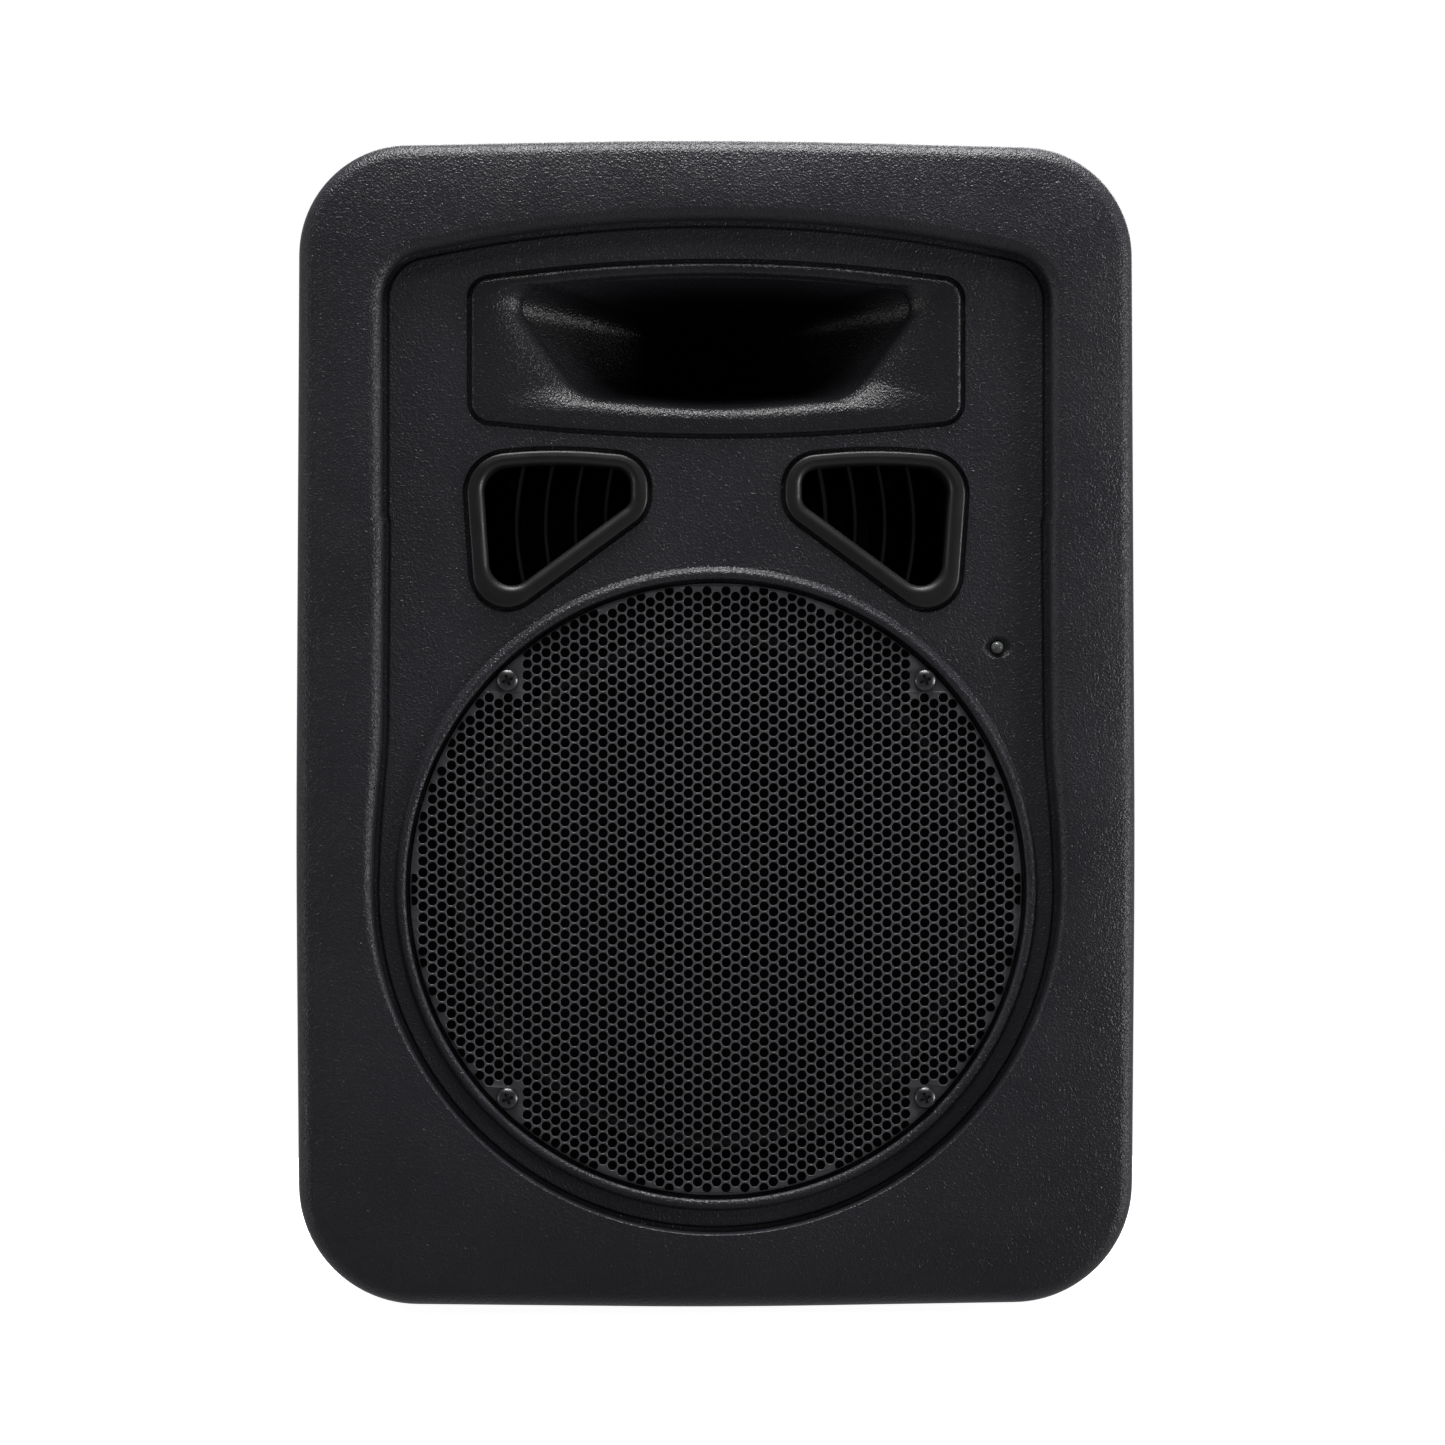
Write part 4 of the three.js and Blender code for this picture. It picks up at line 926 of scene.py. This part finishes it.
class Sheet(Skin):
    """A flat sheet whose points are (x, z, depth below its face)."""

    def __init__(self):
        super().__init__()
        self.shared = {}

    def corner(self, x, z, depth):
        """A point that neighbouring cells share."""
        key = (round(x, 3), round(z, 3), depth)
        if key not in self.shared:
            self.shared[key] = len(self.points)
            self.points.append((x, z, depth))
        return self.shared[key]

    def borders(self, depth):
        """The closed loops of edges that only one face uses, at a depth."""
        used = {}
        for face in self.faces:
            for a, b in zip(face, face[1:] + face[:1]):
                if self.points[a][2] == depth and self.points[b][2] == depth:
                    key = (min(a, b), max(a, b))
                    used[key] = used.get(key, 0) + 1
        links = {}
        for (a, b), times in used.items():
            if times == 1:
                links.setdefault(a, []).append(b)
                links.setdefault(b, []).append(a)
        loops = []
        while links:
            loop = [next(iter(links))]
            while True:
                ahead = [v for v in links[loop[-1]] if v not in loop[-2:]]
                if not ahead or ahead[0] == loop[0]:
                    break
                loop.append(ahead[0])
            for v in loop:
                links.pop(v)
            loops.append(loop)
        return loops


def hole_outline(x, z, grow=0.0):
    angles = np.arange(12) * math.pi / 6
    reach = (HOLE + grow) * np.where(np.arange(12) % 2 == 0, 1.02, 1.0)
    return np.column_stack([x + reach * np.cos(angles), z + reach * np.sin(angles) * 1.02])


def punched_cell(sheet, x, z):
    """A six-sided cell with a hole whose front edge is rounded."""
    front = [sheet.corner(x + dx, z + dz, 0) for dx, dz in HEX]
    back = [sheet.corner(x + dx, z + dz, GRILLE_THICK) for dx, dz in HEX]
    rounding = ((0.26, 0.01), (0.17, 0.04), (0.08, 0.12), (0.02, 0.23), (0, 0.41), (0, GRILLE_THICK - 0.04))
    hole = [sheet.level(hole_outline(x, z, grow), depth) for grow, depth in rounding]
    sheet.bridge(front, *hole, back)


def grille():
    """Perforated sheet of six-sided cells; the cells at its rim are cut through their holes."""
    sheet = Sheet()
    cut_holes = []
    columns = int(SHEET_EDGE / COLUMN) + 1
    rows = int(SHEET_EDGE / ROW) + 1
    for i in range(-columns, columns + 1):
        for j in range(-rows, rows + 1):
            x = i * COLUMN
            z = (j + 0.5 * (i % 2)) * ROW
            radius = math.hypot(x, z)
            if any(math.hypot(x - sx, z - sz) < SPOT for sx, sz in SCREW_SPOTS):
                continue
            if radius + CELL_REACH <= PATTERN_EDGE:
                punched_cell(sheet, x, z)
            elif radius < PATTERN_EDGE - 0.6:
                outline = hole_outline(x, z)
                far = np.hypot(outline[:, 0], outline[:, 1])
                cut_holes.append(outline * np.minimum(1, PATTERN_EDGE / far)[:, None])
    layers = []
    for depth in (0, GRILLE_THICK):
        borders = sheet.borders(depth)
        ring = sheet.level(circle(PATTERN_EDGE + 0.3, np.zeros(2), 480), depth)
        outer = sheet.level(circle(SHEET_EDGE, np.zeros(2), 480), depth)
        sheet.bridge(ring, outer)
        holes = [sheet.level(outline, depth) for outline in cut_holes]
        widest = max(borders, key=lambda loop: max(abs(sheet.points[v][0]) for v in loop))
        sheet.fill(ring, widest, *holes, second=1)
        for loop in borders:
            if loop is not widest:
                sheet.fill(loop, second=1)
        layers.append((outer, *holes))
    for front, back in zip(*layers):
        sheet.bridge(front, back)
    x, z, depth = np.array(sheet.points).T
    sheet.points = np.column_stack([x, grille_face(x, z) + depth, z + WOOFER_Z])
    place("grille_sheet", sheet, COAT, "woofer_grille")


grille()

# ---- Indicator and front screws ----


def indicator():
    skin = Skin()
    profile = [(0, -1.2), (0.9, -1.05), (1.7, -0.6), (2.3, 0.1), (2.6, 0.9), (2.7, 2.0), (2.7, 9), (0, 9)]
    turned(skin, profile, (LED_X, FLOOR, LED_Z), 48)
    place("indicator_dome", skin, LENS, "power_led", sharp=60)


indicator()


def pan_screw(name, node, head_radius, head_height, sign):
    """A pan-head screw with a cross recess. sign is -1 where the head looks forward."""
    low, high = box_mm(node)
    cx, cz = axis_mm(node)
    head_end, tip = (low.y, high.y) if sign < 0 else (high.y, low.y)
    base = head_end - sign * head_height
    shank = 2.1
    skin = Skin()
    dome = [(head_radius * math.sin(a), sign * head_height * math.cos(a) ** 0.8)
            for a in np.radians(np.linspace(0, 88, 12))]
    profile = dome + [(head_radius, 0), (shank, 0), (shank, tip - base), (0, tip - base)]
    turned(skin, profile, (cx, base, cz), 40)
    cutter = cross_cutter(cx, head_end, cz, head_radius, head_height, sign)
    place(name, combine(shape(skin), ("DIFFERENCE", cutter)), STEEL, node)


def cross_cutter(cx, y, cz, head_radius, head_height, sign):
    """A tapered cross standing in the screw head."""
    arm = head_radius * 0.56
    half = head_radius * 0.13
    outline = []
    for k in range(4):
        along, across = axes(k * math.pi / 2 + math.radians(20))
        outline += [along * arm - across * half, along * arm + across * half, (along + across) * half]
    outline = np.array(outline)
    centre = np.array([cx, cz])
    depth = head_height * 0.75
    return skinned((centre + outline * 1.15, y + sign * 0.5), (centre + outline, y),
                   (centre + outline * 0.55, y - sign * depth))


for index in range(1, 5):
    pan_screw(f"front_screw_{index}", f"grille_screw_{index}", 4.65, 2.5, -1)
    pan_screw(f"rear_panel_screw_{index}", f"panel_screw_{index}", 3.6, 2.2, 1)
for index in range(1, 7):
    pan_screw(f"case_screw_{index}", f"shell_screw_{index}", 4.6, 3, 1)

# ---- Rear shell ----

REAR_START = PARTING + PART_LINE
SHELL_SCREWS = [(-98, 34), (98, 34), (-104, 245), (104, 245), (-98, 446), (98, 446)]
PANEL_HALF = 92
PANEL_LOW = 60
PANEL_HIGH = 362
PANEL_FACE = box_mm("amp_panel")[1].y
PANEL_LEDGE = PANEL_FACE - 2.8
HANDLE_Y = 44
HANDLE_FLOOR = 428
WELL_TOP = 500
POLE_Y = 25
FEET = [(-115, -82, 3.4), (115, -82, 3.4), (-85, 85, 3.0), (85, 85, 3.0)]


def cylinder(radius, low, high):
    """The profile of a plain solid cylinder."""
    return [(0, low), (radius, low), (radius, high), (0, high)]


def panel_outline(grow, corner):
    return rectangle((-PANEL_HALF - grow, PANEL_LOW - grow), (PANEL_HALF + grow, PANEL_HIGH + grow), corner)


def rear_body():
    """The whole tapering back as one filled solid."""
    sections = grown(OUTER, REAR_START, (-0.5, 0), (-0.12, 0.12), (0, 0.5))
    sections += [(OUTER * (1 - t) + TAPERED * t, REAR_START + (TAPER_END - REAR_START) * t)
                 for t in np.linspace(0, 1, 7)[1:]]
    sections += grown(TAPERED, TAPER_END, *[(-BACK_ROUND * c, BACK_ROUND * s) for c, s in arc_steps(11)[1:]])
    return skinned(*sections)


def rear_cavity(wall):
    return skinned(*grown(OUTER, REAR_START, (-wall, -1.2), (-wall, 0)),
                   *grown(TAPERED, REAR, (-wall, -BACK_ROUND - 2), (-wall - 6, -wall)))


def rear_additions():
    """The panel's frame and the screw wells."""
    skin = Skin()
    around = panel_outline(3, 6)
    skin.capped([(around, PANEL_LEDGE - WALL), (around, REAR - 2)])
    for x, z in SHELL_SCREWS:
        turned(skin, cylinder(8, REAR_START, REAR - 2), (x, 0, z), 48)
    return shape(skin)


def panel_pocket():
    """The recess that the amplifier panel sits in, with a rounded mouth."""
    outline = panel_outline(0, 3)
    mouth = 1.8
    rounding = [(mouth * c, mouth * (s - 1)) for c, s in arc_steps(7, 0, 84)]
    return skinned((outline, PANEL_LEDGE), *grown(outline, REAR, *rounding, (mouth * 1.2, 1)))


def panel_window():
    outline = panel_outline(-10, 3)
    return skinned((outline, PANEL_LEDGE - WALL - 1), (outline, PANEL_LEDGE + 1))


def screw_bores():
    skin = Skin()
    profile = [(0, PARTING - 1), (2.8, PARTING - 1), (2.8, PARTING + 5), (5.6, PARTING + 5),
               (5.6, REAR - 0.8), (5.85, REAR - 0.3), (6.6, REAR + 0.05), (6.6, REAR + 1), (0, REAR + 1)]
    for x, z in SHELL_SCREWS:
        turned(skin, profile, (x, 0, z), 48)
    for x in (-PANEL_HALF + 5, PANEL_HALF - 5):
        for z in (PANEL_LOW + 5, PANEL_HIGH - 5):
            turned(skin, cylinder(1.9, 110, PANEL_LEDGE + 1), (x, 0, z), 24)
    return shape(skin)


def floor_holes():
    holes = [upright(cylinder(32, 0, 12), (0, POLE_Y), 128)]
    holes += [upright(cylinder(4, 2, 10), (x, y), 32) for x, y, _ in FEET[2:]]
    return [shape(hole) for hole in holes]


def seal_groove():
    skin = Skin()
    skin.closed(grown(OUTER, REAR_START, (-1.2, -1.2), (-1.2, 1.6), (-2.8, 1.6), (-2.8, -1.2)))
    return shape(skin)


def well_outline(grow=0.0):
    return rectangle((-65 - grow, HANDLE_Y - 40 - grow), (65 + grow, HANDLE_Y + 40 + grow), 16 + grow, 14)


def hand_well(grow, low):
    """A round-cornered block as wide as the hand well, or wider by grow."""
    skin = Skin()
    skin.levels([(well_outline(grow), low), (well_outline(grow), WELL_TOP)])
    return shape(skin)


def rear_shell():
    cuts = [panel_pocket(), panel_window(), hand_well(3.3, HANDLE_FLOOR), screw_bores(), seal_groove()]
    moulding = combine(rear_body(), ("DIFFERENCE", rear_cavity(WALL)), ("UNION", rear_additions()),
                       *[("DIFFERENCE", cut) for cut in cuts + floor_holes()])
    place("rear_shell_moulding", moulding, CASE, "rear_shell", sharp=45)


rear_shell()

# ---- Handle, pole socket and feet ----


def back_top(x, y):
    """Height of the rear shell's crowned top."""
    t = (y - REAR_START) / (TAPER_END - REAR_START)
    level = HEIGHT * (1 - t) + BACK_TOP * t
    half = CASE_HALF * (1 - t) + BACK_HALF * t
    return level - x ** 2 / (32 * half)


def well_cutter():
    """The hand space: a rounded bottom edge, upright walls and a mouth that flares to the surface."""
    skin = Skin()
    outline = well_outline()
    sections = grown(outline, HANDLE_FLOOR, (-5, 0), (-2.6, 0.7), (-0.8, 2.4), (0, 5))
    for grow, drop in ((0, 3.2), (0.15, 2.0), (0.5, 1.1), (1.1, 0.4), (1.9, 0.04), (2.2, -0.4), (2.2, -8)):
        ring = expand(outline, grow)
        sections.append((ring, back_top(ring[:, 0], ring[:, 1]) - drop))
    skin.levels(sections)
    return shape(skin)


def handle_cup():
    """The well's own wall, and a flange of the same thickness under the shell round it."""
    wall = 3
    floor = HANDLE_FLOOR - wall
    lining = combine(rear_cavity(WALL + 0.3), ("DIFFERENCE", rear_cavity(WALL + 0.3 + wall)),
                     ("INTERSECT", hand_well(wall + 8, floor)))
    cup = combine(rear_body(), ("INTERSECT", hand_well(wall, floor)), ("UNION", shape(lining)),
                  ("DIFFERENCE", well_cutter()))
    place("hand_well_moulding", cup, SMOOTH, "handle_cup", sharp=45)


def handle_grip():
    """A bar whose rounded section swells where it meets the cup's ends."""
    section = rounded([(-12, 456, 8), (12, 456, 8), (12, 476, 6), (-12, 476, 6)], 12, 5)
    straight = 54
    swelling = 10.7
    half = (64.7, 63.9, 62.6, 60.5, 57.5, straight, 27)
    loops = []
    for x in (*[-reach for reach in half], 0, *half[::-1]):
        swell = 3.6 * max(0.0, (abs(x) - straight) / swelling) ** 2.6
        loops.append([(x, HANDLE_Y + across, z) for across, z in expand(section, swell)])
    skin = Skin()
    skin.bar(loops)
    place("grip_bar", skin, GRAINED, "handle_grip")


def pole_socket():
    top = box_mm("pole_socket")[1].z
    inside = 18.25
    profile = [(0, top - 3), (inside, top - 3), (inside, 6.3), (inside + 0.5, 4.9), (inside + 1.6, 4.0),
               (inside + 2.6, 3.8), (30.6, 3.8), (31.3, 4.1), (31.6, 4.8), (31.6, 7.7), (40, 7.7),
               (40, 10.4), (23.5, 10.4), (22, 11.2), (21.5, 12.6), (21.5, top), (0, top)]
    place("pole_socket_moulding", upright(profile, (0, POLE_Y), 96), SMOOTH, "pole_socket")


def feet():
    for index, (x, y, top) in enumerate(FEET, 1):
        profile = [(0, 0), (10.2, 0), (10.9, 0.15), (11.3, 0.6), (12, top), (3.6, top), (3.6, 9), (0, 9)]
        place(f"rubber_foot_{index}", upright(profile, (x, y), 48), RUBBER, f"foot_{index}")


handle_cup()
handle_grip()
pole_socket()
feet()

# ---- Woofer's moving parts ----


def woofer_ring(profile):
    """A ring on the woofer's axis whose profile closes on itself."""
    skin = Skin()
    made = turned(skin, profile, (0, 0, WOOFER_Z), 160)
    skin.bridge(made[-1], made[0])
    return skin


def woofer_cone():
    """A slightly curved paper cone with two pressed ribs."""
    inner = 26.4
    outer = 100.4
    thickness = 1.2
    front = []
    for t in np.linspace(0, 1, 25):
        radius = inner + (outer - inner) * t
        rib = sum(0.7 * math.exp(-((radius - at) / 1.6) ** 2) for at in (58, 80))
        front.append((radius, -80 - 45.8 * t + 2.2 * math.sin(math.pi * t) - rib))
    back = [(radius, y + thickness) for radius, y in front[:-1]]
    rim = [(102.4, -125.8), (102.4, -124.8)]
    place("cone_paper", woofer_ring(front + rim + back[::-1]), PULP, "woofer_cone", "cone_assembly")


def dust_cap():
    skin = Skin()
    front = [(31 * s, -98.6 + 13.4 * c) for c, s in arc_steps(15)]
    back = [(29.6 * s, -97.4 + 12.8 * c) for c, s in arc_steps(15, 90, 0)]
    turned(skin, front + [(33, -84.4)] + back, (0, 0, WOOFER_Z), 96)
    place("dust_dome", skin, PULP, "woofer_dust_cap", "cone_assembly")


def suspension(name, node, inner, outer, front_y, thickness, material_used):
    """A ring that reaches from the cone at its inner edge to the frame at its outer edge."""
    front = [(inner + (outer - inner) * t, front_y(t)) for t in np.linspace(0, 1, 41)]
    profile = front + [(radius, y + thickness) for radius, y in front[::-1]]
    piece = place(name, woofer_ring(profile), material_used, node, body=None)
    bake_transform(piece)


woofer_cone()
dust_cap()
suspension("surround_roll", "woofer_surround", 102.8, 111.2,
           lambda t: -125.7 - 3.9 * math.sin(math.pi * t) ** 0.8, 1.1, RUBBER)
suspension("spider_corrugation", "woofer_spider", 26.6, 57.3,
           lambda t: -72.9 - 1.1 * math.cos(10 * math.pi * t), 0.7, CLOTH)

# ---- Rear panel ----

KNOBS = {"mic_level": -60, "line_level": -20, "bass": 20, "treble": 60}
KNOB_Z = 268


def knob(body, x):
    """A fluted cap on a skirt, with a raised pointer."""
    centre = np.array([x, KNOB_Z])
    plain = circle(1, np.zeros(2), 144)
    angle = np.linspace(0, TAU, 144, endpoint=False)
    fluted = plain * (1 - 0.055 * np.clip(np.cos(18 * angle), 0, 1) ** 0.7)[:, None]
    skirt = ((3, -8), (3, 1), (7.4, 1), (7.6, 1.2), (7.6, 2.1), (7.3, 2.6))
    grip = ((6.2, 2.9), (5.75, 13.2), (5.6, 14.1))
    top = ((5.1, 14.7), (4.6, 14.8), (4.2, 14.5))
    skin = Skin()
    skin.capped([(centre + outline * radius, PANEL_FACE + y)
                 for outline, part in ((plain, skirt), (fluted, grip), (plain, top)) for radius, y in part])
    skin.block((x - 0.5, PANEL_FACE + 3, KNOB_Z + 1.5), (x + 0.5, PANEL_FACE + 15.2, KNOB_Z + 6.9))
    place(f"{body}_cap", skin, KNOB, f"{body}_knob", body, 40)


def panel_print():
    """Printed scales round the knobs and plain rules between the groups of controls."""
    skin = Skin()
    back = PANEL_FACE + 0.02
    front = PANEL_FACE + 0.1
    for x in KNOBS.values():
        for k in range(11):
            along, across = axes(math.radians(240 - 30 * k))
            across = across * 0.3
            start = [x, KNOB_Z] + along * 9.2
            end = start + along * (2.6 if k % 5 == 0 else 1.6)
            outline = np.array([start - across, start + across, end + across, end - across])
            skin.capped([(outline, back), (outline, front)])
    rule = 0.25
    for z in (292, 244, 116):
        skin.block((-80, back, z - rule), (80, front, z + rule))
    for x in (-22, 38):
        skin.block((x - rule, back, 300), (x + rule, front, 344))
    place("panel_print", skin, INK, sharp=30)


for knob_body, knob_x in KNOBS.items():
    knob(knob_body, knob_x)
panel_print()

# ---- Nodes shown as they are in the CAD, with rounded edges where a look can reach ----


def dress(material_used, bevel, *nodes):
    for node in nodes:
        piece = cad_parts[node]
        paint(piece, material_used)
        modify(piece, "joined corners", "WELD", merge_threshold=0.00001)
        if bevel:
            modify(piece, "rounded edges", "BEVEL", width=bevel * MM, segments=2, limit_method="ANGLE",
                   angle_limit=math.radians(40))
        keep_flats(piece)


dress(PANEL, 0.3, "amp_panel")
dress(ANODISED, 0.4, "heatsink")
dress(SOCKET, 0.35, "combo_jack", "link_output", "power_inlet", "fuse_drawer", "switch_frame",
      "power_rocker")
dress(TONGUE, 0.3, "jack_latch")
dress(RUBBER, 0, "shell_seal")
dress(ZINC, 0.5, "woofer_top_plate", "woofer_yoke")
dress(FERRITE, 0.8, "driver_magnet", "woofer_magnet")
# Painted shade: the near-black material on the driver's body and diaphragm darkens the horn's throat.
dress(BLACK_PAINT_AND_SHADE, 0.4, "driver_body", "driver_diaphragm", "woofer_frame")
dress(SMOOTH, 0.4, "driver_cover", "woofer_terminal")
dress(COPPER, 0, "woofer_voice_coil")
dress(WRAPPED, 2, "power_transformer")
dress(CIRCUIT, 0.3, "amp_board")
dress(INSULATION, 0, "woofer_lead", "driver_lead")
